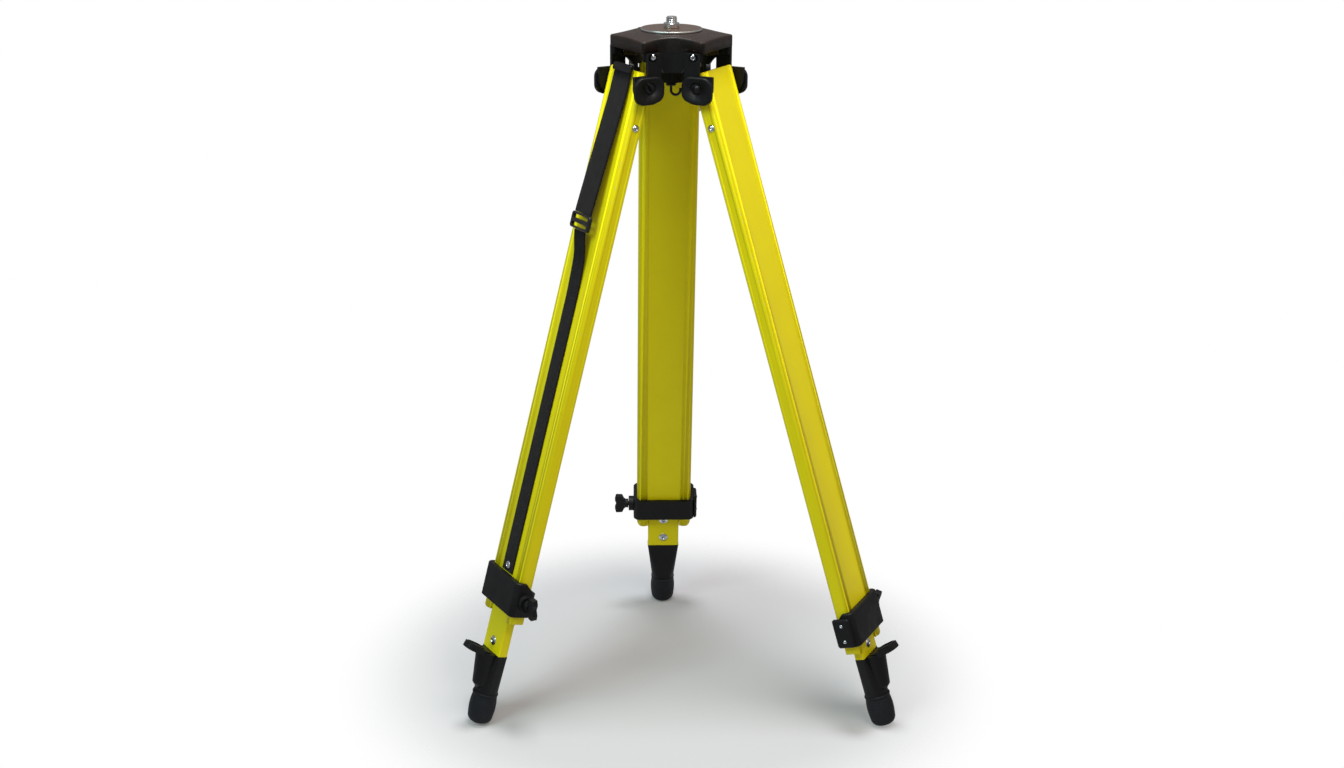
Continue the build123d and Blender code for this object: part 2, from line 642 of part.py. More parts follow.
def build_head_plate():
    """Three-lobed plate with a central opening, a sloped rim, screw bosses and a pivot boss."""
    corner_v = lobe_reach * cos(radians(60)) + lobe_half_width * sin(radians(60))
    with BuildPart() as plate:
        with BuildSketch(Plane.XY.offset(-plate_bottom)):
            with BuildLine():
                for azimuth in lobe_azimuths:
                    Line(polar(azimuth, lobe_reach, -lobe_half_width), polar(azimuth, lobe_reach, lobe_half_width))
                    side = azimuth + 60
                    Line(polar(azimuth, lobe_reach, lobe_half_width), polar(side, corner_v, -shelf_half))
                    ThreePointArc(polar(side, corner_v, -shelf_half), polar(side, waist_reach, 0),
                                  polar(side, corner_v, shelf_half))
                    Line(polar(side, corner_v, shelf_half),
                         polar(azimuth + 120, lobe_reach, -lobe_half_width))
            make_face()
        extrude(amount=plate_thickness)
        uprights = plate.edges().filter_by(Axis.Z)
        fillet([edge for edge in uprights if hypot(edge.center().X, edge.center().Y) > lobe_reach + 11], radius=plate_corner_round)
        # rim of the top face falls away towards the lobes' ends
        slope_reach = hypot(lobe_reach, lobe_half_width) + 6.0
        fall = plate_slope_drop * (slope_reach - plate_slope_start) / (lobe_reach - plate_slope_start)
        with BuildSketch(Plane.XZ):
            with BuildLine():
                Polyline((plate_slope_start, -plate_top), (slope_reach, -plate_top - fall),
                         (slope_reach, 10.0), (plate_slope_start, 10.0), close=True)
            make_face()
        revolve(axis=Axis.Z, mode=Mode.SUBTRACT)
        rim = [edge for edge in plate.edges().filter_by(lambda e: e.center().Z > -plate_bottom + 6)
               if hypot(edge.center().X, edge.center().Y) > 50.5 and not edge.is_closed]
        rim = [edge for edge in rim if abs(edge.tangent_at(0.5).Z) < 0.8]
        fillet(rim, radius=rim_round)
        with BuildSketch(Plane.XY.offset(-plate_bottom)):
            Circle(plate_opening)
        extrude(amount=plate_thickness, mode=Mode.SUBTRACT)
        # bosses for the skirt screws, one pair on each concave side
        arc_radius = waist_radius() + skirt_wall + seat_gap
        for azimuth in lobe_azimuths:
            with BuildSketch(side_frame(azimuth + 60).offset(-plate_bottom - boss_drop)):
                with Locations((boss_reach, -skirt_screw_side), (boss_reach, skirt_screw_side)):
                    Rectangle(18.0, 15.0)
                with Locations((waist_reach + waist_radius(), 0)):
                    Circle(arc_radius, mode=Mode.SUBTRACT)
            extrude(amount=boss_drop + 1.0)
        with BuildSketch(Plane.XY.offset(-arm_drop + sliding_gap)):
            with Locations(polar(arm_azimuth, arm_pivot_reach, 0)):
                Circle(arm_boss_radius)
        extrude(amount=arm_drop - plate_bottom)
        with BuildSketch(Plane.XY.offset(-arm_drop)):
            with Locations(polar(arm_azimuth, arm_pivot_reach, 0)):
                Circle(arm_bolt_radius + seat_gap)
        extrude(amount=arm_drop - plate_top - 5.0, mode=Mode.SUBTRACT)
        for azimuth in lobe_azimuths:
            for across in (-skirt_screw_side, skirt_screw_side):
                with BuildSketch(side_face(azimuth + 60, boss_reach - 6.0, skirt_screw_drop)):
                    with Locations((across, 0)):
                        Circle(skirt_screw_radius + seat_gap)
                extrude(amount=40.0, mode=Mode.SUBTRACT)
    return plate.part


def waist_radius():
    """Radius of the concave sides, from their width and depth."""
    corner_v = lobe_reach * cos(radians(60)) + lobe_half_width * sin(radians(60))
    depth = corner_v - waist_reach
    return (shelf_half ** 2 + depth ** 2) / (2 * depth)


def build_hinge_bracket(azimuth):
    """Bracket under one concave side: curved skirt, two hinge ears and pockets for its screws."""
    centre_v = waist_reach + waist_radius()
    skirt_height = skirt_bottom - plate_bottom - seat_gap
    block_drop = ear_top + 3.0 - plate_bottom - seat_gap
    block_middle = plate_bottom + seat_gap + block_drop / 2
    with BuildPart() as bracket:
        with BuildSketch(side_frame(azimuth).offset(-skirt_bottom)):
            with Locations((centre_v, 0)):
                Circle(waist_radius() + skirt_wall)
                Circle(waist_radius(), mode=Mode.SUBTRACT)
            with Locations((skirt_front / 2, 0)):
                Rectangle(skirt_front, 2 * skirt_half, mode=Mode.INTERSECT)
        extrude(amount=skirt_height)
        for lobe, sign in ((azimuth - 60, 1), (azimuth + 60, -1)):
            # ear block under the plate, then the lug itself
            with BuildSketch(lobe_plane(lobe, sign * ear_block_inner)):
                with Locations(((ear_block_near + ear_block_far) / 2, block_middle)):
                    Rectangle(ear_block_far - ear_block_near, block_drop)
            extrude(amount=sign * (ear_inner + ear_thickness - ear_block_inner))
            with BuildSketch(lobe_plane(lobe, sign * ear_inner)):
                with Locations(((ear_near + ear_far) / 2, (ear_top + hinge_drop) / 2)):
                    Rectangle(ear_far - ear_near, hinge_drop - ear_top)
                with Locations((hinge_radius, hinge_drop)):
                    Circle(ear_radius)
                with Locations((hinge_radius, ear_top - ear_radius)):
                    Rectangle(4 * ear_radius, 2 * ear_radius, mode=Mode.SUBTRACT)
            extrude(amount=sign * ear_thickness)
        # room for the leg heads to turn
        for lobe, sign in ((azimuth - 60, 1), (azimuth + 60, -1)):
            with BuildSketch(lobe_plane(lobe, -sign * ear_inner)):
                with Locations((hinge_radius, hinge_drop)):
                    Circle(leg_sweep_radius)
            extrude(amount=sign * 2 * ear_inner, mode=Mode.SUBTRACT)
            with BuildSketch(lobe_plane(lobe, sign * (ear_inner - 1))):
                with Locations((hinge_radius, hinge_drop)):
                    Circle(hinge_bolt_radius + seat_gap)
            extrude(amount=sign * (ear_thickness + 2), mode=Mode.SUBTRACT)
        for across in (-skirt_screw_side, skirt_screw_side):
            with BuildSketch(side_face(azimuth, skirt_screw_seat, skirt_screw_drop)):
                with Locations((across, 0)):
                    Circle(skirt_screw_dome + 0.8)
            extrude(amount=30.0, mode=Mode.SUBTRACT)
            with BuildSketch(side_face(azimuth, waist_reach - skirt_wall - 2, skirt_screw_drop)):
                with Locations((across, 0)):
                    Circle(skirt_screw_radius + seat_gap)
            extrude(amount=30.0, mode=Mode.SUBTRACT)
    return bracket.part


def build_hinge_brackets():
    """The three brackets, as separate solids."""
    return Compound(children=[build_hinge_bracket(azimuth + 60) for azimuth in lobe_azimuths])


def build_skirt_screws():
    """Six dome screws that hold the brackets to the plate's bosses."""
    screws = []
    for azimuth in lobe_azimuths:
        for across in (-skirt_screw_side, skirt_screw_side):
            face = side_face(azimuth + 60, skirt_screw_seat, skirt_screw_drop)
            plane = Plane(face.from_local_coords((across, 0, 0)), x_dir=face.x_dir, z_dir=face.z_dir)
            screws.append(build_dome_screw(plane, skirt_screw_dome, 2.6, skirt_screw_radius,
                                           skirt_screw_seat - boss_reach + 5.0))
    return Compound(children=screws)


def build_hinge_cap(azimuth, sign):
    """Moulded cover on an ear, with a pocket for the bolt's head or nut."""
    with BuildPart() as cap:
        with BuildSketch(lobe_plane(azimuth, sign * cap_inner)):
            with BuildLine():
                Polyline((ear_near - 1, ear_top + 1), (ear_far + 2, ear_top + 1),
                         (ear_far + 2, hinge_drop + ear_radius + 1), (hinge_radius - 4, hinge_drop + ear_radius + 1),
                         (ear_near - 1, hinge_drop + ear_radius - 5), close=True)
            make_face()
            fillet(vertices().group_by(Axis.Z)[0], radius=13.0)
            fillet(vertices().group_by(Axis.Z)[-1], radius=3.0)
        extrude(amount=sign * cap_thickness)
        outer = cap.faces().sort_by(Axis(lobe_plane(azimuth, 0).origin, lobe_plane(azimuth, 0).z_dir * sign))[-1]
        fillet(outer.edges(), radius=1.6)
        with BuildSketch(lobe_plane(azimuth, sign * cap_floor)):
            with Locations((hinge_radius, hinge_drop)):
                Circle(cap_pocket_radius)
        extrude(amount=sign * cap_thickness, mode=Mode.SUBTRACT)
        with BuildSketch(lobe_plane(azimuth, sign * (cap_inner - 1))):
            with Locations((hinge_radius, hinge_drop)):
                Circle(hinge_bolt_radius + seat_gap)
        extrude(amount=sign * cap_thickness, mode=Mode.SUBTRACT)
    return cap.part


def build_hinge_caps():
    """Six caps, two on each hinge."""
    return Compound(children=[build_hinge_cap(azimuth, sign) for azimuth in lobe_azimuths for sign in (-1, 1)])


def build_hinge_bolt(azimuth):
    """Slotted dome-head bolt through a hinge, and its hexagon nut."""
    head_plane = Plane(lobe_plane(azimuth, cap_floor + seat_gap).from_local_coords((hinge_radius, hinge_drop, 0)),
                       x_dir=(0, 0, 1), z_dir=lobe_plane(azimuth, 0).z_dir)
    nut_plane = Plane(lobe_plane(azimuth, -cap_floor - seat_gap).from_local_coords((hinge_radius, hinge_drop, 0)),
                      x_dir=(0, 0, 1), z_dir=-lobe_plane(azimuth, 0).z_dir)
    with BuildPart() as bolt:
        with BuildSketch(head_plane):
            Circle(hinge_head_radius)
        extrude(amount=hinge_head_height)
        fillet(bolt.edges().sort_by(Axis(head_plane.origin, head_plane.z_dir))[-1], radius=1.4)
        with BuildSketch(head_plane.offset(hinge_head_height)):
            SlotOverall(2 * hinge_head_radius - 2, 1.8, rotation=40)
        extrude(amount=-1.5, mode=Mode.SUBTRACT)
        with BuildSketch(head_plane):
            Circle(hinge_bolt_radius)
        extrude(amount=-2 * cap_floor - 4.0)
    with BuildPart() as nut:
        with BuildSketch(nut_plane):
            RegularPolygon(hinge_head_radius, 6)
            Circle(hinge_bolt_radius + running_gap, mode=Mode.SUBTRACT)
        extrude(amount=hinge_head_height)
    return [bolt.part, nut.part]


def build_hinge_bolts():
    """Three hinge bolts with their nuts."""
    return Compound(children=[solid for azimuth in lobe_azimuths for solid in build_hinge_bolt(azimuth)])


# ---------------------------------------------------------------- instrument screw and its centring
def build_centring_arm():
    """Slotted arm under the plate that swings about its bolt and guides the screw."""
    beyond = centring_travel + sleeve_radius + 6.0
    near = arm_pivot_reach + arm_boss_radius
    with BuildPart() as arm:
        plan = Plane(origin=(0, 0, -arm_drop - arm_thickness),
                     x_dir=(cos(radians(arm_azimuth)), sin(radians(arm_azimuth)), 0), z_dir=(0, 0, 1))
        with BuildSketch(plan):
            with Locations(((near - beyond) / 2, 0)):
                RectangleRounded(near + beyond, 2 * arm_half_width, arm_boss_radius)
            SlotCenterToCenter(2 * (centring_travel + sliding_gap), 2 * (sleeve_radius + running_gap),
                               mode=Mode.SUBTRACT)
            with Locations((arm_pivot_reach, 0)):
                Circle(arm_bolt_radius + running_gap, mode=Mode.SUBTRACT)
        extrude(amount=arm_thickness)
        chamfer(arm.faces().filter_by(Axis.Z).edges(), length=0.5)
    return arm.part


def build_arm_bolt():
    """Socket bolt that the centring arm swings on."""
    place = polar(arm_azimuth, arm_pivot_reach, 0)
    with BuildPart() as bolt:
        with BuildSketch(Plane((place[0], place[1], -arm_drop - arm_thickness - sliding_gap))):
            Circle(arm_bolt_head)
        extrude(amount=-arm_bolt_head_height)
        chamfer(bolt.edges().sort_by(Axis.Z)[0], length=0.6)
        with BuildSketch(Plane((place[0], place[1], -arm_drop - arm_thickness - sliding_gap))):
            Circle(arm_bolt_radius)
        extrude(amount=arm_thickness + arm_drop - plate_top - 6.0)
        with BuildSketch(Plane((place[0], place[1], -arm_drop - arm_thickness - sliding_gap - arm_bolt_head_height))):
            RegularPolygon(arm_bolt_radius * 0.8, 6)
        extrude(amount=1.8, mode=Mode.SUBTRACT)
    return bolt.part


def build_seat_disc():
    """Round instrument seat that slides on the plate."""
    with BuildPart() as disc:
        with BuildSketch(Plane.XY):
            Circle(seat_radius)
            Circle(seat_hole, mode=Mode.SUBTRACT)
        extrude(amount=-seat_thickness)
        chamfer(disc.edges().filter_by(GeomType.CIRCLE).sort_by(SortBy.RADIUS)[-2:], length=0.4)
    return disc.part


def build_sleeve():
    """Flanged sleeve round the screw: the seat disc sits on the flange, the tube runs in the arm's slot."""
    with BuildPart() as sleeve:
        with BuildSketch(Plane.XY):
            Circle(seat_hole - seat_gap)
            Circle(screw_shaft_radius + running_gap, mode=Mode.SUBTRACT)
        extrude(amount=-seat_thickness)
        with BuildSketch(Plane.XY):
            Circle(sleeve_radius)
            Circle(screw_shaft_radius + running_gap, mode=Mode.SUBTRACT)
        extrude(amount=-(arm_drop + arm_thickness + sliding_gap))
    return sleeve.part


def build_friction_washer():
    """Washer between the arm and the knob."""
    top = arm_drop + arm_thickness + sliding_gap + seat_gap
    with BuildPart() as washer:
        with BuildSketch(Plane.XY.offset(-top)):
            Circle(washer_radius)
            Circle(screw_shaft_radius + running_gap, mode=Mode.SUBTRACT)
        extrude(amount=-washer_thickness)
    return washer.part


def build_instrument_screw():
    """Centring screw: threaded stud with a ridged thread, collar and shaft down to the knob."""
    thread_start = sliding_gap + screw_collar_height
    with BuildPart() as screw:
        with BuildSketch(Plane.XY.offset(sliding_gap)):
            Circle(screw_collar_radius)
        extrude(amount=screw_collar_height)
        chamfer(screw.edges(), length=0.5)
        with BuildSketch(Plane.XY.offset(thread_start)):
            Circle(thread_radius)
        extrude(amount=thread_length)
        chamfer(screw.edges().sort_by(Axis.Z)[-1], length=1.2)
        with BuildSketch(Plane.XY.offset(sliding_gap)):
            Circle(screw_shaft_radius)
        extrude(amount=-(sliding_gap + knob_top + knob_height + 2.0))
    return screw.part


def build_knob():
    """Lobed hand knob on the screw's lower end."""
    with BuildPart() as knob:
        with BuildSketch(Plane.XY.offset(-knob_top)):
            Circle(knob_radius)
            with PolarLocations(knob_radius + 2.2, knob_flutes):
                Circle(4.4, mode=Mode.SUBTRACT)
        extrude(amount=-knob_height, taper=3)
        with BuildSketch(Plane.XY.offset(-knob_top)):
            Circle(knob_radius - 5)
            Circle(screw_shaft_radius + 4, mode=Mode.SUBTRACT)
        extrude(amount=-3.0, mode=Mode.SUBTRACT)
        with BuildSketch(Plane.XY.offset(-knob_top - knob_height)):
            Circle(knob_radius - 6)
            Circle(screw_shaft_radius + 5, mode=Mode.SUBTRACT)
        extrude(amount=knob_height - 9.0, mode=Mode.SUBTRACT)
        with BuildSketch(Plane.XY.offset(-knob_top)):
            Circle(screw_shaft_radius + seat_gap)
        extrude(amount=-knob_height, mode=Mode.SUBTRACT)
    return knob.part


def build_plumb_hook():
    """Hook under the screw for a plumb bob's line."""
    top = knob_top + knob_height + 2.0 + seat_gap
    with BuildPart() as hook:
        with BuildSketch(Plane.XY.offset(-top)):
            Circle(screw_shaft_radius + 1.0)
        extrude(amount=-4.0)
        with BuildLine(Plane.XZ) as path:
            Line((0, -top - 3.0), (0, -top - 11.0))
            CenterArc((hook_bend, -top - 11.0), hook_bend, 180, 180)
            Line((2 * hook_bend, -top - 11.0), (2 * hook_bend, -top - 8.0))
        with BuildSketch(Plane((0, 0, -top - 3.0), z_dir=(0, 0, -1))):
            Circle(hook_wire)
        sweep(path=path.line)
    return hook.part


# ---------------------------------------------------------------- carrying strap
def strap_profile(points, thickness):
    """Closed strap outline in the plane square to the hinge axis, from its inner line."""
    return list(points) + [(out + thickness, along) for out, along in reversed(points)]


def build_strap_piece(frame, points, thickness, width):
    """Strap run along the leg's outer face, given as distances from the leg's middle and along it."""
    outline = strap_profile(points, thickness)
    with BuildPart() as strap:
        with BuildSketch(side_plane(frame, -width / 2)):
            with BuildLine():
                Polyline(*outline, close=True)
            make_face()
        extrude(amount=width)
    return strap.part


def build_strap_tail(frame):
    """Narrow strap from the buckle down to its rivet."""
    points = ((strap_buckle_out, 212.5), (strap_buckle_out - 3.0, 225.0), (strap_start_out + 0.9, 246.0),
              (panel_depth / 2 + 0.2, 300.0),
              (panel_depth / 2 + 0.2, strap_end))
    tail = build_strap_piece(frame, points, strap_narrow_thickness, strap_narrow)
    with BuildPart() as cut:
        add(tail)
        with BuildSketch(face_plane(frame, 0, strap_rivet_along)):
            Circle(rivet_radius + seat_gap)
        extrude(amount=2 * leg_depth, mode=Mode.SUBTRACT)
    return cut.part


def build_strap_buckle(frame):
    """Moulded sliding buckle with two slots."""
    with BuildPart() as buckle:
        with BuildSketch(face_plane(frame, strap_buckle_out, strap_buckle_along)):
            RectangleRounded(strap_wide + 6, strap_buckle_height, 4.0)
            with Locations((0, -5.6), (0, 5.6)):
                RectangleRounded(strap_wide - 4, 5.2, 2.0, mode=Mode.SUBTRACT)
        extrude(amount=5.0)
        chamfer(buckle.faces().sort_by(Axis(frame.origin, frame.y_dir))[-1].outer_wire().edges(), length=1.2)
    return buckle.part


def build_strap_rivet(frame):
    """Rivet that ties the strap's end to the panel."""
    face = panel_depth / 2 + 0.2 + strap_narrow_thickness + seat_gap
    plane = Plane(frame.from_local_coords((0, face, strap_rivet_along)), x_dir=frame.x_dir, z_dir=frame.y_dir)
    return build_dome_screw(plane, rivet_dome, 2.2, rivet_radius, face - channel_depth / 2 - 0.4)


def build_strap_anchor(frame):
    """Flat bar that pins the strap's upper end to the leg head."""
    with BuildPart() as anchor:
        with BuildSketch(face_plane(frame, strap_start_out + strap_wide_thickness + seat_gap, anchor_along)):
            RectangleRounded(strap_wide + 2, 10.0, 2.0)
        extrude(amount=2.0)
    return anchor.part


# ---------------------------------------------------------------- build everything
save(build_head_plate(), "head_plate")
save(build_hinge_brackets(), "hinge_brackets")
save(build_skirt_screws(), "skirt_screws")
save(build_hinge_caps(), "hinge_caps")
save(build_hinge_bolts(), "hinge_bolts")
save(build_arm_bolt(), "arm_bolt")
save(build_centring_arm(), "centring_arm")
save(build_seat_disc(), "seat_disc")
save(build_sleeve(), "screw_sleeve")
save(build_friction_washer(), "friction_washer")
save(build_instrument_screw(), "instrument_screw")
save(build_knob(), "screw_knob")
save(build_plumb_hook(), "plumb_hook")

for place in leg_places:
    frame = leg_frame(place.azimuth, place.splay)
    end = place.upper_length
    shoe_top = foot_end(place) - foot_length
    has_strap = place.name == "left"
    save(build_upper_leg(frame, end, strap_rivet_along if has_strap else None), f"upper_leg_{place.name}")
    save(build_leg_head(frame), f"leg_head_{place.name}")
    save(build_leg_head_screws(frame), f"leg_head_screws_{place.name}")
    save(build_clamp_collar(frame, end), f"clamp_collar_{place.name}")
    save(build_clamp_block(frame, end), f"clamp_block_{place.name}")
    save(build_block_screws(frame, end), f"clamp_block_screws_{place.name}")
    save(build_wing_screw(frame, end, place.wing_turn), f"wing_screw_{place.name}")
    save(build_pressure_pad(frame, end), f"pressure_pad_{place.name}")
    save(build_lower_leg(frame, shoe_top), f"lower_leg_{place.name}")
    save(build_lower_guide(frame, shoe_top), f"lower_guide_{place.name}")
    save(build_tang_screws(frame, shoe_top), f"tang_screws_{place.name}")
    save(build_foot_shoe(frame, shoe_top), f"foot_shoe_{place.name}")
    save(build_foot_point(frame, shoe_top), f"foot_point_{place.name}")
    save(build_foot_boot(frame, shoe_top), f"foot_boot_{place.name}")

strap_frame = leg_frame(leg_places[1].azimuth, leg_places[1].splay)
shoulder_points = ((strap_start_out, -24.0), (strap_start_out, 20.0), (strap_start_out + 2.4, 60.0),
                   (strap_start_out + 6.4, 120.0), (strap_buckle_out, 188.0))
save(build_strap_piece(strap_frame, shoulder_points, strap_wide_thickness, strap_wide), "strap_shoulder")
save(build_strap_buckle(strap_frame), "strap_buckle")
save(build_strap_tail(strap_frame), "strap_tail")
save(build_strap_rivet(strap_frame), "strap_rivet")
save(build_strap_anchor(strap_frame), "strap_anchor")
print(len(saved_nodes), "nodes")
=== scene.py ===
"""Looks of a surveying tripod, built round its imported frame.

Everything is in metres in the part's own frame: origin in the middle of the instrument seat, +Z up,
the back leg along +Y. Patterns are written in millimetres, because every piece carries a place_mm
attribute: its own sub-assembly's coordinates, with Z along the leg for whatever belongs to a leg.
"""

import json
import logging
import math
from dataclasses import dataclass
from enum import Enum
from typing import Callable

import bmesh
import bpy
import numpy as np
from mathutils import Matrix, Vector

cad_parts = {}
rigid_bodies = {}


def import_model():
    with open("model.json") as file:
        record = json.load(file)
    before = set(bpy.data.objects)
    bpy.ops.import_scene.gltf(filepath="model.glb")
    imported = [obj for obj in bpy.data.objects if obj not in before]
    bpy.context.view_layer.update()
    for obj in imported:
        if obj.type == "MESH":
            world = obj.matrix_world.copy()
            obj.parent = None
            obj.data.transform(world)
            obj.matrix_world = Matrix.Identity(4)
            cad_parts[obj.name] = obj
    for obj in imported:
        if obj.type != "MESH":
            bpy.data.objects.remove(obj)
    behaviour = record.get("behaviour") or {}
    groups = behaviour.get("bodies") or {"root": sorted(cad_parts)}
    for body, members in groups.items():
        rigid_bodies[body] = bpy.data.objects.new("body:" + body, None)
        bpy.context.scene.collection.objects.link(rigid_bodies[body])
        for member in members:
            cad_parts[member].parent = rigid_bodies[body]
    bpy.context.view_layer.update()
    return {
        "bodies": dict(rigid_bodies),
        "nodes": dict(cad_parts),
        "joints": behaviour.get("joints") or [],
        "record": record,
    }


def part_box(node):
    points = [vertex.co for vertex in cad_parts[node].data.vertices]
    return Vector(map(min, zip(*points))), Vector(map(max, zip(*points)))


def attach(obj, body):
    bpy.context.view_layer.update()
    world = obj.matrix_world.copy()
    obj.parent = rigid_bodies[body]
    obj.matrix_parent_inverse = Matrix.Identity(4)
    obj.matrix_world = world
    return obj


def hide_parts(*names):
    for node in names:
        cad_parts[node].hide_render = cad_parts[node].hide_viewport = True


LOG = logging.getLogger("tripod")
MM = 0.001
SIDES = ("back", "left", "right")
ROUND_COLUMNS = 96

Array = np.ndarray
Tree = bpy.types.NodeTree
Node = bpy.types.Node
Socket = bpy.types.NodeSocket


class Edge(Enum):
    """Width in millimetres of the broken edge that a making process leaves on a piece."""

    MOULDED = 0.7
    CUT = 0.4
    PLAIN = 0.0


# ---------------------------------------------------------------- node, colour and object helpers
def linear(colour: str) -> tuple[float, float, float, float]:
    """Turns an sRGB hex colour into the linear values that a shader takes.

    Args:
        colour: the colour as "#rrggbb".

    Returns:
        Red, green, blue and an alpha of one.
    """
    parts = [int(colour[i:i + 2], 16) / 255 for i in (1, 3, 5)]
    made = [p / 12.92 if p <= 0.04045 else ((p + 0.055) / 1.055) ** 2.4 for p in parts]
    return (made[0], made[1], made[2], 1.0)


def add_node(tree: Tree, kind: str, links: dict | None = None, **settings: object) -> Node:
    """Adds a node with its settings and its links.

    Args:
        tree: the material's or world's node tree.
        kind: the node's type without its ShaderNode prefix.
        links: socket name or number to a value, or to another node's output.
        settings: properties of the node itself.

    Returns:
        The new node.
    """
    made = tree.nodes.new("ShaderNode" + kind)
    for name, value in settings.items():
        setattr(made, name, value)
    for socket, source in (links or {}).items():
        if isinstance(source, bpy.types.NodeSocket):
            tree.links.new(source, made.inputs[socket])
        else:
            made.inputs[socket].default_value = source
    return made


def math_node(tree: Tree, operation: str, first: object, second: object = 0.0) -> Socket:
    """Adds one step of arithmetic.

    Args:
        tree: the material's or world's node tree.
        operation: what it does, in Blender's words.
        first: the first number or output.
        second: the second one, if the operation takes two.

    Returns:
        The result's socket.
    """
    return add_node(tree, "Math", {0: first, 1: second}, operation=operation).outputs[0]


def empty_tree(owner: bpy.types.Material | bpy.types.World) -> Tree:
    """Turns on a material's or a world's nodes and clears them.

    Args:
        owner: the material or world.

    Returns:
        Its empty tree.
    """
    owner.use_nodes = True
    owner.node_tree.nodes.clear()
    return owner.node_tree


def linked(name: str, data: bpy.types.ID) -> bpy.types.Object:
    """Makes an object of a mesh, lamp or camera and puts it in the scene.

    Args:
        name: the object's name.
        data: what it shows.

    Returns:
        The new object at the origin.
    """
    made = bpy.data.objects.new(name, data)
    bpy.context.scene.collection.objects.link(made)
    return made


# ---------------------------------------------------------------- finishes
@dataclass(frozen=True)
class Finish:
    """A surface: its colours, its gloss, its grain and how it has aged.

    The colour wanders between colour and shade in soft patches, the relief is one fine grain, and
    dust lies in broad patches on top.
    """

    name: str
    colour: str
    shade: str
    roughness: float
    metallic: float = 0.0
    ior: float = 1.5
    specular: float = 0.5
    grain_mm: float = 0.8
    relief_mm: float = 0.03
    patch_mm: float = 45.0
    patch_share: float = 0.35
    gloss_spread: float = 0.10
    dust: float = 0.0
    dust_colour: str = "#8f8a80"

    def material(self) -> bpy.types.Material:
        """Makes the material, or hands back the one already made."""
        known = bpy.data.materials.get(self.name)
        if known:
            return known
        made = bpy.data.materials.new(self.name)
        tree = empty_tree(made)
        place = add_node(tree, "Attribute", attribute_name="place_mm").outputs["Vector"]
        patches = self.noise(tree, place, self.patch_mm, 4.0, 0.6)
        tone = self.ramp(tree, patches, 0.35, 0.68, 0.0, self.patch_share)
        colour = self.blend(tree, tone, linear(self.colour), linear(self.shade))
        fine = self.noise(tree, place, self.grain_mm, 3.0, 0.55)
        spread = self.ramp(tree, self.noise(tree, place, self.patch_mm * 0.3, 5.0, 0.65), 0.3, 0.7,
                           self.roughness - self.gloss_spread, self.roughness + self.gloss_spread)
        bump = add_node(tree, "Bump", {"Strength": 1.0, "Distance": self.relief_mm * MM, "Height": fine})
        shader = add_node(tree, "BsdfPrincipled", {
            "Base Color": colour, "Metallic": self.metallic, "Roughness": spread, "IOR": self.ior,
            "Specular IOR Level": self.specular, "Normal": bump.outputs["Normal"]})
        self.detail(tree, place, shader, bump)
        self.age(tree, place, shader)
        output = add_node(tree, "OutputMaterial", {"Surface": shader.outputs["BSDF"]})
        output.is_active_output = True
        return made

    def detail(self, tree: Tree, place: Socket, shader: Node, bump: Node) -> None:
        """Adds what only this finish has; the plain finish adds nothing.

        Args:
            tree: the material's node tree.
            place: the piece's coordinates in millimetres.
            shader: the material's shader.
            bump: the fine grain's bump node.
        """

    def age(self, tree: Tree, place: Socket, shader: Node) -> None:
        """Lays broken, broad patches of dust over the colour and dulls the gloss there.

        Args:
            tree: the material's node tree.
            place: the piece's coordinates in millimetres.
            shader: the material's shader.
        """
        if self.dust <= 0:
            return
        broad = self.noise(tree, place, 60.0, 6.0, 0.7)
        speck = self.noise(tree, place, 3.0, 2.0, 0.5)
        both = math_node(tree, "MULTIPLY", broad, speck)
        film = self.ramp(tree, both, 0.2, 0.42, 0.0, self.dust)
        self.over(tree, shader, "Base Color", film, linear(self.dust_colour))
        self.over(tree, shader, "Roughness", film, 0.85)

    @staticmethod
    def noise(tree: Tree, place: Socket, size_mm: float, detail: float, rough: float) -> Socket:
        """Cloudy noise whose largest feature is about size_mm across."""
        return add_node(tree, "TexNoise", {"Vector": place, "Scale": 1.0 / size_mm, "Detail": detail,
                                           "Roughness": rough}).outputs["Fac"]

    @staticmethod
    def ramp(tree: Tree, value: Socket, low: float, high: float, start: float, stop: float) -> Socket:
        """Stretches a value from low..high to start..stop, held at both ends."""
        return add_node(tree, "MapRange", {"Value": value, "From Min": low, "From Max": high,
                                           "To Min": start, "To Max": stop}).outputs["Result"]

    @staticmethod
    def blend(tree: Tree, share: Socket, first: object, second: object) -> Socket:
        """Mixes two colours, each a value or an output, by a share."""
        return add_node(tree, "Mix", {0: share, 6: first, 7: second}, data_type="RGBA").outputs[2]

    def over(self, tree: Tree, shader: Node, socket: str, share: Socket, value: object) -> None:
        """Lays a colour or a number over what already feeds a shader's socket.

        Args:
            tree: the material's node tree.
            shader: the material's shader.
            socket: the name of its input.
            share: how much of the new value shows.
            value: the colour or number, or an output that gives it.
        """
        fed = shader.inputs[socket]
        before = fed.links[0].from_socket if fed.links else fed.default_value
        if socket == "Base Color":
            mixed = self.blend(tree, share, before, value)
        else:
            mixed = add_node(tree, "Mix", {0: share, 2: before, 3: value}).outputs[0]
        tree.links.new(mixed, fed)


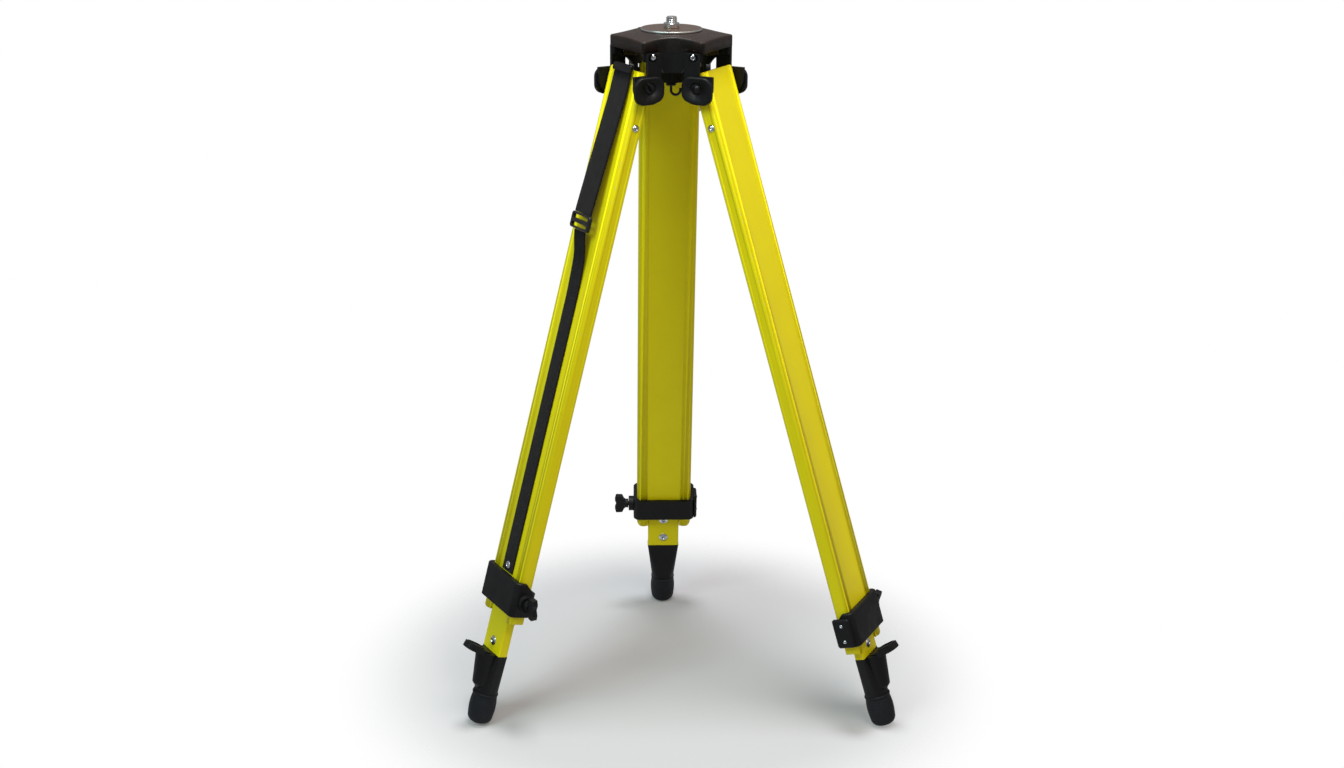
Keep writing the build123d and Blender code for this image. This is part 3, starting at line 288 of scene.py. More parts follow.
@dataclass(frozen=True)
class PowderCoat(Finish):
    """Polyester powder coat on extruded aluminium: orange peel, rubbed corners, fine draw marks."""

    corner_x_mm: float = 38.0
    corner_y_mm: float = 5.5
    rubbed: str = "#b9b6a4"
    scuffed: str = "#d2c520"

    def detail(self, tree: Tree, place: Socket, shader: Node, bump: Node) -> None:
        """Adds scuffs along the leg, grime and corners rubbed to a paler tone."""
        parts = add_node(tree, "SeparateXYZ", {"Vector": place})
        stretched = add_node(tree, "Mapping", {"Vector": place, "Scale": (1.0, 1.0, 0.035)}).outputs["Vector"]
        scuffs = self.noise(tree, stretched, 1.6, 4.0, 0.75)
        scuff = self.ramp(tree, scuffs, 0.68, 0.76, 0.0, 0.3)
        self.over(tree, shader, "Base Color", scuff, linear(self.scuffed))
        self.over(tree, shader, "Roughness", scuff, 0.6)
        across = self.beyond(tree, parts.outputs["X"], self.corner_x_mm)
        through = self.beyond(tree, parts.outputs["Y"], self.corner_y_mm)
        corner = math_node(tree, "MINIMUM", across, through)
        chips = self.noise(tree, place, 5.0, 6.0, 0.75)
        edge = self.ramp(tree, corner, 2.6, 4.2, 0.0, 1.0)
        worn = math_node(tree, "MULTIPLY", edge, self.ramp(tree, chips, 0.58, 0.66, 0.0, 0.8))
        self.over(tree, shader, "Base Color", worn, linear(self.rubbed))

    @staticmethod
    def beyond(tree: Tree, value: Socket, limit: float) -> Socket:
        """How far a coordinate's size goes past a limit."""
        return math_node(tree, "SUBTRACT", math_node(tree, "ABSOLUTE", value), limit)


@dataclass(frozen=True)
class CastingPaintWithPaintedShade(Finish):
    """Stoved paint on the head's casting, slightly brown, with painted shade: the hollow flanks between the
    lobes are painted near-black.
    """

    # painted shade: the near-black colour, and the outward directions of the walls between the lobes that it
    # covers
    painted_shade_colour: str = "#100d0c"
    painted_shade_azimuths_deg: tuple[float, ...] = (30.0, 150.0, 270.0)

    def detail(self, tree: Tree, place: Socket, shader: Node, bump: Node) -> None:
        """Paints shade near-black over the walls between the lobes, found by the way they face."""
        facing = add_node(tree, "NewGeometry").outputs["Normal"]
        painted_shade_facing: object = 0.0
        for azimuth in self.painted_shade_azimuths_deg:
            turn = math.radians(azimuth)
            along = add_node(tree, "VectorMath", {0: facing, 1: (math.cos(turn), math.sin(turn), 0.0)},
                             operation="DOT_PRODUCT").outputs["Value"]
            painted_shade_facing = math_node(tree, "MAXIMUM", painted_shade_facing, along)
        # painted shade on the walls that face out between the lobes
        share = self.ramp(tree, painted_shade_facing, 0.76, 0.86, 0.0, 1.0)
        self.over(tree, shader, "Base Color", share, linear(self.painted_shade_colour))


@dataclass(frozen=True)
class TurnedFinish(Finish):
    """Metal faced on a lathe: fine rings round the seat's middle, seen as a spun highlight."""

    ring_mm: float = 0.55
    bright_beyond_mm: float = 0.0
    bright: str = "#c9cacc"

    def detail(self, tree: Tree, place: Socket, shader: Node, bump: Node) -> None:
        """Adds the rings as relief and as small changes of gloss, and a bare bright rim if there is one."""
        if self.bright_beyond_mm:
            parts = add_node(tree, "SeparateXYZ", {"Vector": place})
            level = add_node(tree, "CombineXYZ", {"X": parts.outputs["X"], "Y": parts.outputs["Y"]})
            reach = add_node(tree, "VectorMath", {0: level.outputs[0]}, operation="LENGTH").outputs["Value"]
            rim = self.ramp(tree, reach, self.bright_beyond_mm, self.bright_beyond_mm + 0.3, 0.0, 1.0)
            self.over(tree, shader, "Base Color", rim, linear(self.bright))
        settings = {"Vector": place, "Scale": 1.0 / (self.ring_mm * 20), "Distortion": 0.6, "Detail": 2.0,
                    "Detail Scale": 0.4}
        rings = add_node(tree, "TexWave", settings, wave_type="RINGS", rings_direction="Z").outputs["Fac"]
        ringed = add_node(tree, "Bump", {"Strength": 0.5, "Distance": 0.02 * MM, "Height": rings,
                                         "Normal": bump.outputs["Normal"]})
        tree.links.new(ringed.outputs["Normal"], shader.inputs["Normal"])
        self.over(tree, shader, "Roughness", self.ramp(tree, rings, 0.0, 1.0, 0.0, 0.35), 0.5)


@dataclass(frozen=True)
class WovenFinish(Finish):
    """Polyamide webbing: rows of ribs across the strap with a twill step, from the UV map in mm."""

    thread_mm: float = 1.5
    # painted highlight colour for the weave's raised crests
    crest_highlight_colour: str = "#1d1b20"

    def detail(self, tree: Tree, place: Socket, shader: Node, bump: Node) -> None:
        """Adds the weave as relief, a painted highlight that lightens its raised crests, and the fabric's
        soft sheen.
        """
        uv = add_node(tree, "UVMap", uv_map="weave_mm").outputs["UV"]
        parts = add_node(tree, "SeparateXYZ", {"Vector": uv})
        warp = self.wave(tree, parts.outputs["X"], self.thread_mm)
        slanted = math_node(tree, "ADD", parts.outputs["Y"], parts.outputs["X"])
        weft = self.wave(tree, slanted, self.thread_mm * 1.6)
        height = math_node(tree, "MULTIPLY", warp, weft)
        woven = add_node(tree, "Bump", {"Strength": 0.9, "Distance": 0.35 * MM, "Height": height,
                                        "Normal": bump.outputs["Normal"]})
        tree.links.new(woven.outputs["Normal"], shader.inputs["Normal"])
        # painted highlight: the weave's raised crests are lightened by their height
        painted_crest_highlight = self.ramp(tree, height, 0.1, 0.9, 0.0, 0.4)
        self.over(tree, shader, "Base Color", painted_crest_highlight, linear(self.crest_highlight_colour))
        shader.inputs["Sheen Weight"].default_value = 0.06
        shader.inputs["Sheen Roughness"].default_value = 0.4

    @staticmethod
    def wave(tree: Tree, value: Socket, step: float) -> Socket:
        """A sine of the value with one full turn each step, from zero to one."""
        sine = math_node(tree, "SINE", math_node(tree, "MULTIPLY", value, 2 * math.pi / step))
        return Finish.ramp(tree, sine, -1.0, 1.0, 0.0, 1.0)


# powder coat hides the extrusion's draw marks under a faint orange peel; it reads satin and even
YELLOW_COAT = PowderCoat("yellow_powder_coat", "#efe208", "#e4d204", 0.42, specular=0.22, grain_mm=1.4,
                         relief_mm=0.02, patch_mm=90.0, patch_share=0.4, gloss_spread=0.06, dust=0.04,
                         dust_colour="#b9a94a")
# stoved black on a sand casting: slightly brown, pebbly, soft broad highlights; painted shade turns the walls
# between the lobes near-black
HEAD_PAINT = CastingPaintWithPaintedShade("black_stoved_casting_with_painted_shade", "#261b18", "#1a1311", 0.44, specular=0.3, grain_mm=0.9,
                          relief_mm=0.05, dust=0.10, dust_colour="#5d534d")
# glass-filled nylon moulding: blue-black, matt with a fine spark grain
BLACK_NYLON = Finish("black_moulded_nylon", "#0f0f12", "#0b0b0d", 0.48, ior=1.53, specular=0.2, grain_mm=0.6,
                     relief_mm=0.035, dust=0.05, dust_colour="#4a4a50")
# acetal comes off the mould glossy
BLACK_ACETAL = Finish("black_acetal_moulding", "#0f0f12", "#0b0b0d", 0.20, ior=1.48, grain_mm=2.0,
                      relief_mm=0.01, gloss_spread=0.05, dust=0.04)
# moulded rubber: dull, with a faint powdery bloom where it is handled
BOOT_RUBBER = Finish("moulded_boot_rubber", "#15181e", "#101217", 0.62, ior=1.52, specular=0.22, grain_mm=0.9,
                     relief_mm=0.02, dust=0.08, dust_colour="#4e4f52")
# black oxide on turned steel: nearly black with a dull metal gleam
BLACK_OXIDE = Finish("black_oxide_steel", "#333337", "#242427", 0.38, metallic=0.9, grain_mm=1.0,
                     relief_mm=0.015)
# bright zinc plate: cool white metal, a little cloudy
ZINC_PLATE = Finish("bright_zinc_plate", "#d3d8df", "#aab1bb", 0.22, metallic=1.0, grain_mm=1.5,
                    relief_mm=0.008)
# turned and polished steel stud
BRIGHT_STEEL = TurnedFinish("polished_turned_steel", "#d8d8da", "#b4b3b3", 0.16, metallic=1.0, grain_mm=2.0,
                            relief_mm=0.006, gloss_spread=0.05)
# bronze-tinted anodised aluminium faced on a lathe
SEAT_ALLOY = TurnedFinish("faced_anodised_aluminium", "#8a7368", "#6f5d54", 0.36, metallic=1.0, grain_mm=1.2,
                          relief_mm=0.01, gloss_spread=0.06, dust=0.04, bright_beyond_mm=41.9)
# plain turned brass
PLAIN_BRASS = Finish("turned_brass", "#b5955a", "#8f7340", 0.35, metallic=1.0)
# natural nylon, slightly waxy
NATURAL_NYLON = Finish("natural_nylon", "#d8d4c6", "#bfb9a6", 0.45, ior=1.53)
# black polyamide webbing, woven
WEBBING = WovenFinish("woven_black_webbing", "#0e0c10", "#0a090c", 0.75, specular=0.15, grain_mm=0.5,
                      relief_mm=0.02, dust=0.06, dust_colour="#4c4a4c")


# ---------------------------------------------------------------- frames
@dataclass(frozen=True)
class LegFrame:
    """A leg's own axes at rest: X across the leg, Y outwards, Z down the leg, from its hinge."""

    side: str
    pivot: Array
    across: Array
    down: Array

    @property
    def outward(self) -> Array:
        """Direction out of the leg's wide face, away from the head's middle."""
        return np.cross(self.down, self.across)

    def world(self, local_mm: Array) -> Array:
        """Turns leg coordinates in millimetres into the part's frame in metres."""
        axes = np.stack([self.across, self.outward, self.down])
        return self.pivot + (np.asarray(local_mm, float) * MM) @ axes

    def local(self, points: Array) -> Array:
        """Turns points of the part's frame in metres into leg coordinates in millimetres."""
        axes = np.stack([self.across, self.outward, self.down])
        return ((points - self.pivot) @ axes.T) / MM


def leg_frames(joints: list[dict]) -> dict[str, LegFrame]:
    """Reads each leg's frame from its hinge and its slide.

    Args:
        joints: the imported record's joints.

    Returns:
        One frame for each side.
    """
    named = {joint["name"]: joint for joint in joints}
    made = {}
    for side in SIDES:
        hinge, slide = named["leg_swing_" + side], named["leg_slide_" + side]
        across, down = (np.array(j["axis"], float) / np.linalg.norm(j["axis"]) for j in (hinge, slide))
        made[side] = LegFrame(side, np.array(hinge["pos_m"], float), across, down)
    return made


# ---------------------------------------------------------------- pieces
@dataclass
class Workshop:
    """Makes pieces, gives them their coordinates and finish, and rides them on their bodies."""

    frame: dict
    smooth_deg: float = 32.0
    flat_deg: float = 0.5
    bevel_steps: int = 2
    weld_m: float = 2e-6
    grid_weld_m: float = 1e-7
    made: int = 0

    def body_of(self, node: str) -> str:
        """The body that a CAD node belongs to."""
        bodies = self.frame["record"]["behaviour"]["bodies"]
        return next(body for body, nodes in bodies.items() if node in nodes)

    @staticmethod
    def points_of(mesh: bpy.types.Mesh) -> Array:
        """A mesh's vertices as rows of three, in metres."""
        flat = np.empty(len(mesh.vertices) * 3)
        mesh.vertices.foreach_get("co", flat)
        return flat.reshape(-1, 3)

    @staticmethod
    def shade(mesh: bpy.types.Mesh, sharp_deg: float) -> None:
        """Makes a mesh smooth, but sharp at edges past an angle in degrees."""
        mesh.polygons.foreach_set("use_smooth", np.ones(len(mesh.polygons), bool))
        mesh.set_sharp_from_angle(angle=math.radians(sharp_deg))

    def stamp(self, mesh: bpy.types.Mesh, leg: LegFrame | None) -> None:
        """Stores each vertex's coordinates in millimetres as place_mm.

        Args:
            mesh: the piece's mesh.
            leg: the leg whose coordinates it follows, or None for the head.
        """
        points = self.points_of(mesh)
        local = leg.local(points) if leg else points / MM
        stored = mesh.attributes.get("place_mm") or mesh.attributes.new("place_mm", "FLOAT_VECTOR", "POINT")
        stored.data.foreach_set("vector", np.ascontiguousarray(local, np.float32).ravel())

    def finish(self, piece: bpy.types.Object, node: str, look: Finish, leg: LegFrame | None) -> None:
        """Stamps and paints a piece whose mesh is in place, and lets it stand for its CAD node.

        Args:
            piece: the object, at the origin.
            node: the CAD node that it stands for, whose body it moves with.
            look: its finish.
            leg: the leg whose coordinates it follows, or None for the head.
        """
        body = self.body_of(node)
        self.stamp(piece.data, leg)
        piece.data.materials.clear()
        piece.data.materials.append(look.material())
        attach(piece, body)
        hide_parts(node)
        self.made += 1
        LOG.info("%s: %d faces on %s", piece.name, len(piece.data.polygons), body)

    def smooth_copy(self, node: str, look: Finish, edge: Edge, leg: LegFrame | None = None) -> None:
        """Copies a CAD node with its corners merged, its curves smooth and its edges broken.

        Args:
            node: the CAD node.
            look: its finish.
            edge: how its sharp edges are broken.
            leg: the leg whose coordinates it follows, or None for the head.
        """
        mesh = bpy.data.meshes.new(node + "_look")
        work = bmesh.new()
        work.from_mesh(self.frame["nodes"][node].data)
        bmesh.ops.remove_doubles(work, verts=work.verts, dist=self.weld_m)
        if edge.value:
            bmesh.ops.dissolve_limit(work, angle_limit=math.radians(self.flat_deg), verts=work.verts,
                                     edges=work.edges)
        work.to_mesh(mesh)
        work.free()
        self.shade(mesh, self.smooth_deg)
        piece = linked(node + "_look", mesh)
        if edge.value:
            broken = piece.modifiers.new("broken edges", "BEVEL")
            broken.width = edge.value * MM
            broken.segments = self.bevel_steps
            broken.limit_method = "ANGLE"
            broken.angle_limit = math.radians(self.smooth_deg)
            broken.harden_normals = True
        self.finish(piece, node, look, leg)

    def grid_piece(self, name: str, points: Array, uv_mm: Array | None = None,
                   sharp_deg: float = 40.0) -> bpy.types.Object:
        """Makes a closed surface from a grid of points, rows along it and columns around it.

        The last column joins the first, and one face closes each end.

        Args:
            name: the piece's name.
            points: rows x columns x 3, in metres.
            uv_mm: rows x columns x 2 pattern coordinates, if the finish reads them.
            sharp_deg: degrees past which an edge stays sharp.

        Returns:
            The new object at the origin.
        """
        rows, columns = points.shape[:2]
        index = np.arange(rows * columns).reshape(rows, columns)
        beside = np.roll(index, -1, axis=1)
        quads = np.stack([index[:-1], beside[:-1], beside[1:], index[1:]], axis=-1).reshape(-1, 4)
        ends = [index[0, ::-1].tolist(), index[-1].tolist()]
        mesh = bpy.data.meshes.new(name)
        mesh.from_pydata(points.reshape(-1, 3).tolist(), [], quads.tolist() + ends)
        if uv_mm is not None:
            layer = mesh.uv_layers.new(name="weave_mm")
            corner = np.empty(len(mesh.loops), np.int32)
            mesh.loops.foreach_get("vertex_index", corner)
            layer.data.foreach_set("uv", uv_mm.reshape(-1, 2)[corner].astype(np.float32).ravel())
        work = bmesh.new()
        work.from_mesh(mesh)
        bmesh.ops.remove_doubles(work, verts=work.verts, dist=self.grid_weld_m)
        bmesh.ops.recalc_face_normals(work, faces=work.faces)
        work.to_mesh(mesh)
        work.free()
        self.shade(mesh, sharp_deg)
        return linked(name, mesh)

    def turned_piece(self, name: str, profile_mm: Array,
                     to_world: Callable[[Array], Array]) -> bpy.types.Object:
        """Revolves a profile of radius and height about the local Z axis.

        Args:
            name: the piece's name.
            profile_mm: rows of (radius, height).
            to_world: turns local millimetres into metres of the part's frame.

        Returns:
            The new object at the origin.
        """
        turn = np.linspace(0, 2 * math.pi, ROUND_COLUMNS, endpoint=False)
        radius, height = profile_mm[:, :1], profile_mm[:, 1:]
        points = np.stack([radius * np.cos(turn), radius * np.sin(turn), height + 0 * turn], axis=-1)
        return self.grid_piece(name, to_world(points.reshape(-1, 3)).reshape(points.shape))


@dataclass
class Head:
    """Plate, brackets, caps, seat and centring screw."""

    shop: Workshop
    thread_pitch_mm: float = 25.4 / 11
    thread_depth_mm: float = 1.25
    thread_radius_mm: float = 7.94
    thread_fade_mm: float = 1.2
    thread_rows: int = 70
    closing_radii_mm: tuple[float, float] = (3.0, 7.0)
    collar_radius_mm: float = 11.0
    collar_groove_mm: float = 0.5
    collar_top_mm: float = 7.0
    shaft_radius_mm: float = 6.0

    def build(self) -> None:
        """Dresses every node of the head."""
        for node, look, edge in (
                ("head_plate", HEAD_PAINT, Edge.PLAIN), ("hinge_brackets", BLACK_NYLON, Edge.MOULDED),
                ("skirt_screws", ZINC_PLATE, Edge.PLAIN), ("hinge_bolts", BLACK_OXIDE, Edge.PLAIN),
                ("hinge_caps", BLACK_NYLON, Edge.PLAIN), ("arm_bolt", BLACK_OXIDE, Edge.PLAIN),
                ("centring_arm", BLACK_OXIDE, Edge.CUT), ("seat_disc", SEAT_ALLOY, Edge.PLAIN),
                ("screw_sleeve", PLAIN_BRASS, Edge.PLAIN), ("friction_washer", NATURAL_NYLON, Edge.PLAIN),
                ("screw_knob", BLACK_NYLON, Edge.MOULDED), ("plumb_hook", BLACK_OXIDE, Edge.PLAIN)):
            self.shop.smooth_copy(node, look, edge)
        self.centring_screw()

    def centring_screw(self) -> None:
        """Builds the screw with a real thread.

        Each point's radius is the plain profile's radius at its height. On the stud, a triangular
        wave of the height less the helix's lead at that angle is taken off it. The wave fades in
        above the collar and fades out where the end closes. The collar has two shallow grooves.
        """
        low, high = (corner[2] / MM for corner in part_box("instrument_screw"))
        full = self.collar_radius_mm
        neck = full - self.collar_groove_mm
        collar = [(self.shaft_radius_mm, 0.3), (neck, 0.3), (full, 0.8), (full, 2.4), (neck, 2.7),
                  (neck, 3.1), (full, 3.4), (full, 4.6), (neck, 4.9), (neck, 5.3), (full, 5.6), (full, 6.5),
                  (neck, self.collar_top_mm)]
        heights = np.linspace(self.collar_top_mm, high, self.thread_rows)
        stud = [(self.thread_radius_mm - max(0.0, height - high + self.thread_fade_mm), height)
                for height in heights]
        profile = np.array([(0.0, low), (self.shaft_radius_mm, low)] + collar + stud + [(0.0, high)])
        turn = np.linspace(0, 2 * math.pi, ROUND_COLUMNS, endpoint=False)
        radius, height = profile[:, :1], profile[:, 1:] + 0 * turn
        phase = (height / self.thread_pitch_mm - turn / (2 * math.pi)) % 1.0
        notch = self.thread_depth_mm * np.abs(2 * phase - 1)
        run_out = np.clip((height - self.collar_top_mm) / self.thread_fade_mm, 0, 1)
        inner, outer = self.closing_radii_mm
        ring = radius - notch * run_out * np.clip((radius - inner) / (outer - inner), 0, 1)
        points = np.stack([ring * np.cos(turn), ring * np.sin(turn), height], axis=-1) * MM
        piece = self.shop.grid_piece("centring_screw", points, sharp_deg=25.0)
        self.shop.finish(piece, "instrument_screw", BRIGHT_STEEL, None)


@dataclass
class Leg:
    """One telescopic leg with its clamp and foot."""

    shop: Workshop
    frame: LegFrame
    boot_length_mm: float = 48.0
    boot_radius_mm: float = 18.5
    boot_round_mm: float = 11.0
    boot_belly_mm: float = 1.5
    boot_taper_mm: float = 0.5
    rim_radius_mm: float = 18.0
    rim_width_mm: float = 1.1
    rim_height_mm: float = 4.0
    rim_step_mm: float = 0.2
    plug_radius_mm: float = 14.1
    plug_depth_mm: float = 32.3
    plug_lip_mm: float = 0.6

    def build(self) -> None:
        """Dresses every node of the leg."""
        side, shop, leg = self.frame.side, self.shop, self.frame
        for stem, look, edge in (
                ("upper_leg_", YELLOW_COAT, Edge.PLAIN), ("leg_head_", YELLOW_COAT, Edge.PLAIN),
                ("leg_head_screws_", ZINC_PLATE, Edge.PLAIN), ("clamp_collar_", BLACK_NYLON, Edge.MOULDED),
                ("clamp_block_", BLACK_NYLON, Edge.MOULDED), ("clamp_block_screws_", ZINC_PLATE, Edge.PLAIN),
                ("wing_screw_", BLACK_NYLON, Edge.MOULDED), ("pressure_pad_", PLAIN_BRASS, Edge.PLAIN),
                ("lower_leg_", YELLOW_COAT, Edge.PLAIN), ("lower_guide_", NATURAL_NYLON, Edge.PLAIN),
                ("tang_screws_", ZINC_PLATE, Edge.PLAIN), ("foot_shoe_", BLACK_NYLON, Edge.MOULDED),
                ("foot_point_", BRIGHT_STEEL, Edge.PLAIN)):
            shop.smooth_copy(stem + side, look, edge, leg)
        self.boot()

    def boot(self) -> None:
        """Builds the rubber boot as a turned surface with a hollow for the shoe's plug.

        The outside runs from the flat sole over a quarter-round, up a wall that swells as half a
        sine to the belly, to a bead at the rim; the inside goes down again as a blind bore.
        """
        node = "foot_boot_" + self.frame.side
        cad_points = self.shop.points_of(self.shop.frame["nodes"][node].data)
        end = float(self.frame.local(cad_points)[:, 2].max())
        rim = end - self.boot_length_mm
        round_mm, plug, half_bead = self.boot_round_mm, self.plug_radius_mm, self.rim_height_mm / 2
        wall_mm = self.boot_length_mm - round_mm - self.rim_height_mm - self.rim_step_mm
        lip = self.plug_lip_mm
        sole = [(self.boot_radius_mm - round_mm * (1 - math.sin(a)), end - round_mm * (1 - math.cos(a)))
                for a in np.linspace(0, math.pi / 2, 12)]
        wall = [(self.boot_radius_mm + self.boot_belly_mm * math.sin(math.pi * t) - self.boot_taper_mm * t,
                 end - round_mm - t * wall_mm) for t in np.linspace(0.05, 1, 18)]
        bead = [(self.rim_radius_mm + self.rim_width_mm * math.sin(a), rim + half_bead * (1 + math.cos(a)))
                for a in np.linspace(0, math.pi, 9)]
        inside = [(plug + lip, rim), (plug, rim + lip), (plug, rim + self.plug_depth_mm),
                  (0.0, rim + self.plug_depth_mm)]
        profile = np.array([(0.0, end)] + sole + wall + bead + inside)
        piece = self.shop.turned_piece("boot_" + self.frame.side, profile, self.frame.world)
        self.shop.finish(piece, node, BOOT_RUBBER, self.frame)


@dataclass(frozen=True)
class Webbing:
    """One run of webbing: its flat section and the route of its inner face.

    The route's points are distances in millimetres, out from the leg's middle and along the leg.
    """

    node: str
    thickness: float
    width: float
    route: tuple[tuple[float, float], ...]


SHOULDER = Webbing("strap_shoulder", 3.6, 44.0,
                   ((11.6, -24.0), (11.6, 20.0), (14.0, 60.0), (18.0, 120.0), (22.0, 188.0)))
TAIL = Webbing("strap_tail", 2.4, 30.0,
               ((22.0, 212.5), (19.0, 225.0), (12.5, 246.0), (9.7, 300.0), (9.7, 717.0)))


@dataclass
class CarryingStrap:
    """Webbing strap with its buckle, rivet and anchor on the left leg."""

    shop: Workshop
    frame: LegFrame
    step_mm: float = 3.0
    rounding_steps: int = 9
    section_points: int = 40
    selvedge_mm: float = 2.5
    middle_thinner: float = 0.16
    end_power: float = 0.35
    face_power: float = 0.5
    weave_start_mm: float = 100.0

    def build(self) -> None:
        """Dresses the strap's pieces."""
        for node, look, edge in (
                ("strap_buckle", BLACK_ACETAL, Edge.MOULDED), ("strap_rivet", ZINC_PLATE, Edge.PLAIN),
                ("strap_anchor", BLACK_OXIDE, Edge.PLAIN)):
            self.shop.smooth_copy(node, look, edge, self.frame)
        self.ribbon(SHOULDER)
        self.ribbon(TAIL)

    def ribbon(self, run: Webbing) -> None:
        """Builds a run of webbing along the leg's outer face.

        The middle line is the polyline through the route's points, rounded by averaging it over
        rounding_steps points. The section is a flat oblong with round ends: the powers say how fast
        its faces and ends turn. Between its two selvedges it is a little thinner. The weave follows
        the strap's width and length.

        Args:
            run: the webbing.
        """
        outs, alongs = (np.array(values) for values in zip(*run.route))
        along = np.arange(alongs[0], alongs[-1] + 0.01, self.step_mm)
        along[-1] = alongs[-1]
        out = np.interp(along, alongs, outs)
        spare, window = self.rounding_steps // 2, np.ones(self.rounding_steps) / self.rounding_steps
        padded = np.concatenate([np.full(spare, out[0]), out, np.full(spare, out[-1])])
        out = np.convolve(padded, window, mode="valid") + run.thickness / 2
        turn = np.linspace(0, 2 * math.pi, self.section_points, endpoint=False)
        cos, sin = np.cos(turn), np.sin(turn)
        across = run.width / 2 * np.sign(cos) * np.abs(cos) ** self.end_power
        middle = np.abs(across) < run.width / 2 - self.selvedge_mm
        bulge = np.sign(sin) * np.abs(sin) ** self.face_power
        through = run.thickness / 2 * bulge * (1.0 - self.middle_thinner * middle)
        local = np.empty((len(along), len(turn), 3))
        local[..., 0] = across
        local[..., 1] = out[:, None] + through
        local[..., 2] = along[:, None]
        weave = np.stack(np.broadcast_arrays(across + self.weave_start_mm, along[:, None]), axis=-1)
        points = self.frame.world(local.reshape(-1, 3)).reshape(local.shape)
        piece = self.shop.grid_piece(run.node + "_webbing", points, uv_mm=weave)
        self.shop.finish(piece, run.node, WEBBING, self.frame)


@dataclass(frozen=True)
class Softbox:
    """A square lamp: where it stands and its side in metres, its power in watts and its tint."""

    name: str
    place: tuple[float, float, float]
    size: float
    power: float
    tint: str = "#ffffff"


SOFTBOXES = (
    Softbox("key_softbox", (-2.0, -1.9, 1.9), 1.3, 45.0, "#d8fff6"),
    Softbox("fill_softbox", (2.6, -1.2, 1.2), 1.8, 9.0, "#ffd9a0"),
    Softbox("front_softbox", (0.6, -1.7, 2.2), 1.3, 36.0, "#fff4e4"),
    Softbox("top_softbox", (0.0, -0.05, 2.1), 0.6, 60.0),
)


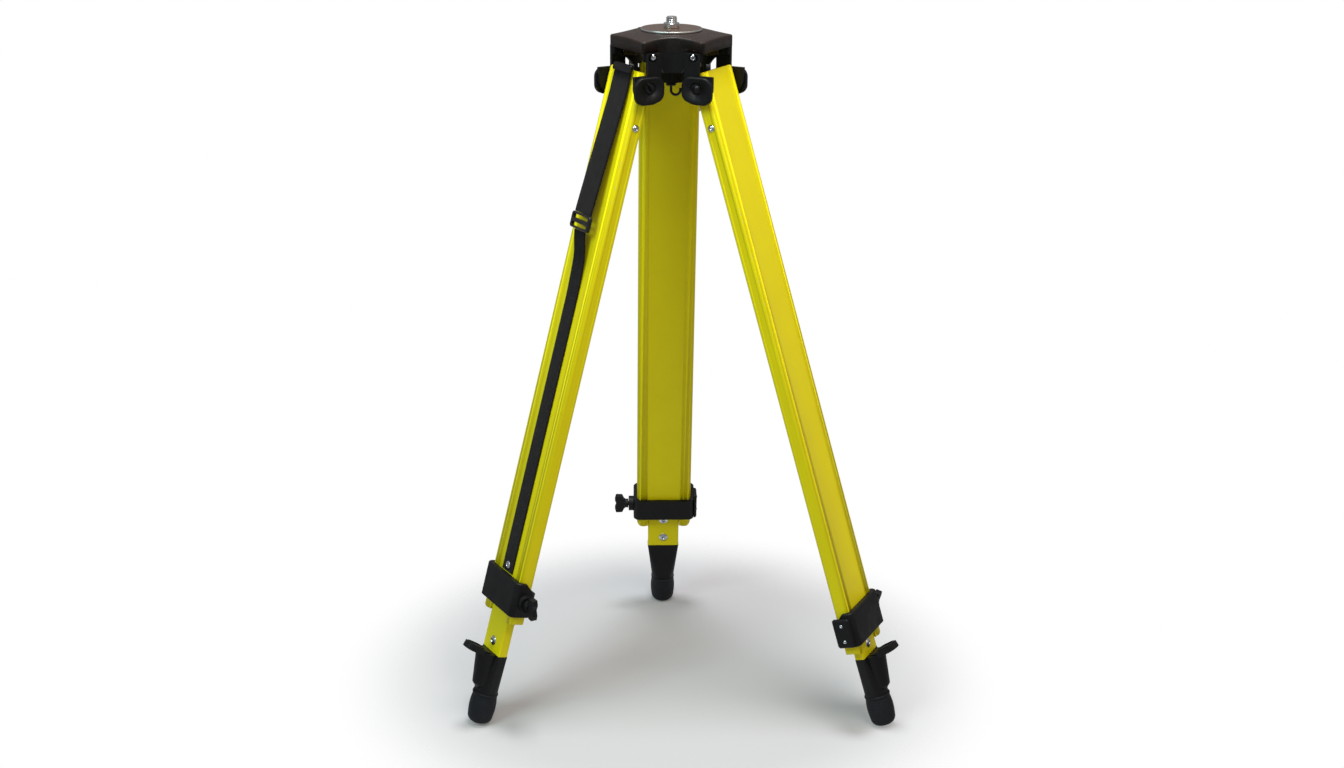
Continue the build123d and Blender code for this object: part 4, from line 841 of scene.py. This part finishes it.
@dataclass(frozen=True)
class Studio:
    """Camera, lamps, pale floor and the world round the tripod."""

    distance_m: float = 2.4524
    side_m: float = 0.00466
    eye_above_floor_m: float = 1.3367
    pitch: float = 0.33996
    roll: float = 0.00803
    turn: float = -0.03714
    lens_mm: float = 47.2
    sensor_mm: float = 36.0
    sight_m: float = 50.0
    floor_m: float = -0.990
    floor_size_m: float = 6.0
    floor_fade_m: tuple[float, float] = (0.30, 0.52)
    floor_lift: float = 0.10
    floor_colour: str = "#b4b4b9"
    surround: float = 0.30
    lamps_aim_m: tuple[float, float, float] = (0.0, 0.0, -0.45)

    def build(self) -> None:
        """Sets up the whole studio."""
        self.camera()
        self.floor()
        self.world()
        for softbox in SOFTBOXES:
            self.lamp(softbox)

    def camera(self) -> None:
        """Places the camera: level turn about Z, then pitch down and a slight roll."""
        data = bpy.data.cameras.new("view")
        data.lens = self.lens_mm
        data.sensor_width = self.sensor_mm
        data.clip_end = self.sight_m
        made = linked("view", data)
        swing = Matrix.Rotation(self.turn, 4, "Z")
        tilt = Matrix.Rotation(math.pi / 2 - self.pitch, 4, "X")
        twist = Matrix.Rotation(self.roll, 4, "Z")
        eye = Vector((self.side_m, -self.distance_m, self.floor_m + self.eye_above_floor_m))
        made.matrix_world = swing @ Matrix.Translation(eye) @ tilt @ twist
        bpy.context.scene.camera = made

    def floor(self) -> None:
        """Adds a wide pale floor that keeps shadows and fades out away from the tripod."""
        half = self.floor_size_m / 2
        corners = [(-half, -half, self.floor_m), (half, -half, self.floor_m), (half, half, self.floor_m),
                   (-half, half, self.floor_m)]
        mesh = bpy.data.meshes.new("studio_floor")
        mesh.from_pydata(corners, [], [(0, 1, 2, 3)])
        made = linked("studio_floor", mesh)
        paint = bpy.data.materials.new("matt_white_floor")
        tree = empty_tree(paint)
        rays = add_node(tree, "LightPath").outputs
        seen = math_node(tree, "MAXIMUM", rays["Is Camera Ray"], rays["Is Glossy Ray"])
        lift = math_node(tree, "MULTIPLY", seen, self.floor_lift)
        matt = add_node(tree, "BsdfDiffuse", {"Color": linear(self.floor_colour)})
        glow = add_node(tree, "Emission", {"Color": (1, 1, 1, 1), "Strength": lift})
        both = add_node(tree, "AddShader", {0: matt.outputs[0], 1: glow.outputs[0]})
        spot = add_node(tree, "TexCoord").outputs["Object"]
        radius = add_node(tree, "VectorMath", {0: spot, 1: (0.0, 0.0, -self.floor_m)}, operation="ADD")
        far = add_node(tree, "VectorMath", {0: radius.outputs[0]}, operation="LENGTH").outputs["Value"]
        gone = add_node(tree, "MapRange", {"Value": far, "From Min": self.floor_fade_m[0],
                                           "From Max": self.floor_fade_m[1]},
                        interpolation_type="SMOOTHSTEP").outputs["Result"]
        clear = add_node(tree, "BsdfTransparent")
        faded = add_node(tree, "MixShader", {0: gone, 1: both.outputs[0], 2: clear.outputs[0]})
        add_node(tree, "OutputMaterial", {"Surface": faded.outputs[0]})
        mesh.materials.append(paint)

    def world(self) -> None:
        """Sets an even pale surround, plain white where it is seen directly or through a transmitting
        surface.
        """
        made = bpy.data.worlds.new("pale_studio")
        tree = empty_tree(made)
        rays = add_node(tree, "LightPath").outputs
        seen = math_node(tree, "MAXIMUM", rays["Is Camera Ray"], rays["Is Transmission Ray"])
        strength = add_node(tree, "MapRange", {"Value": seen, "To Min": self.surround}).outputs["Result"]
        glow = add_node(tree, "Background", {"Color": (1, 1, 1, 1), "Strength": strength})
        add_node(tree, "OutputWorld", {"Surface": glow.outputs[0]})
        bpy.context.scene.world = made

    def lamp(self, softbox: Softbox) -> None:
        """Adds a softbox that faces the tripod's middle.

        Args:
            softbox: the lamp.
        """
        data = bpy.data.lights.new(softbox.name, "AREA")
        data.size = softbox.size
        data.energy = softbox.power
        data.color = linear(softbox.tint)[:3]
        made = linked(softbox.name, data)
        made.location = softbox.place
        aim = Vector(self.lamps_aim_m) - Vector(softbox.place)
        made.rotation_euler = aim.to_track_quat("-Z", "Y").to_euler()


def main() -> None:
    """Builds the tripod's looks and the studio."""
    logging.basicConfig(level=logging.INFO, format="%(message)s")
    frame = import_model()
    legs = leg_frames(frame["joints"])
    shop = Workshop(frame)
    Head(shop).build()
    for leg in legs.values():
        Leg(shop, leg).build()
    CarryingStrap(shop, legs["left"]).build()
    Studio().build()
    bpy.context.scene.view_settings.view_transform = "Standard"
    LOG.info("%d pieces", shop.made)


if __name__ == "__main__":
    main()
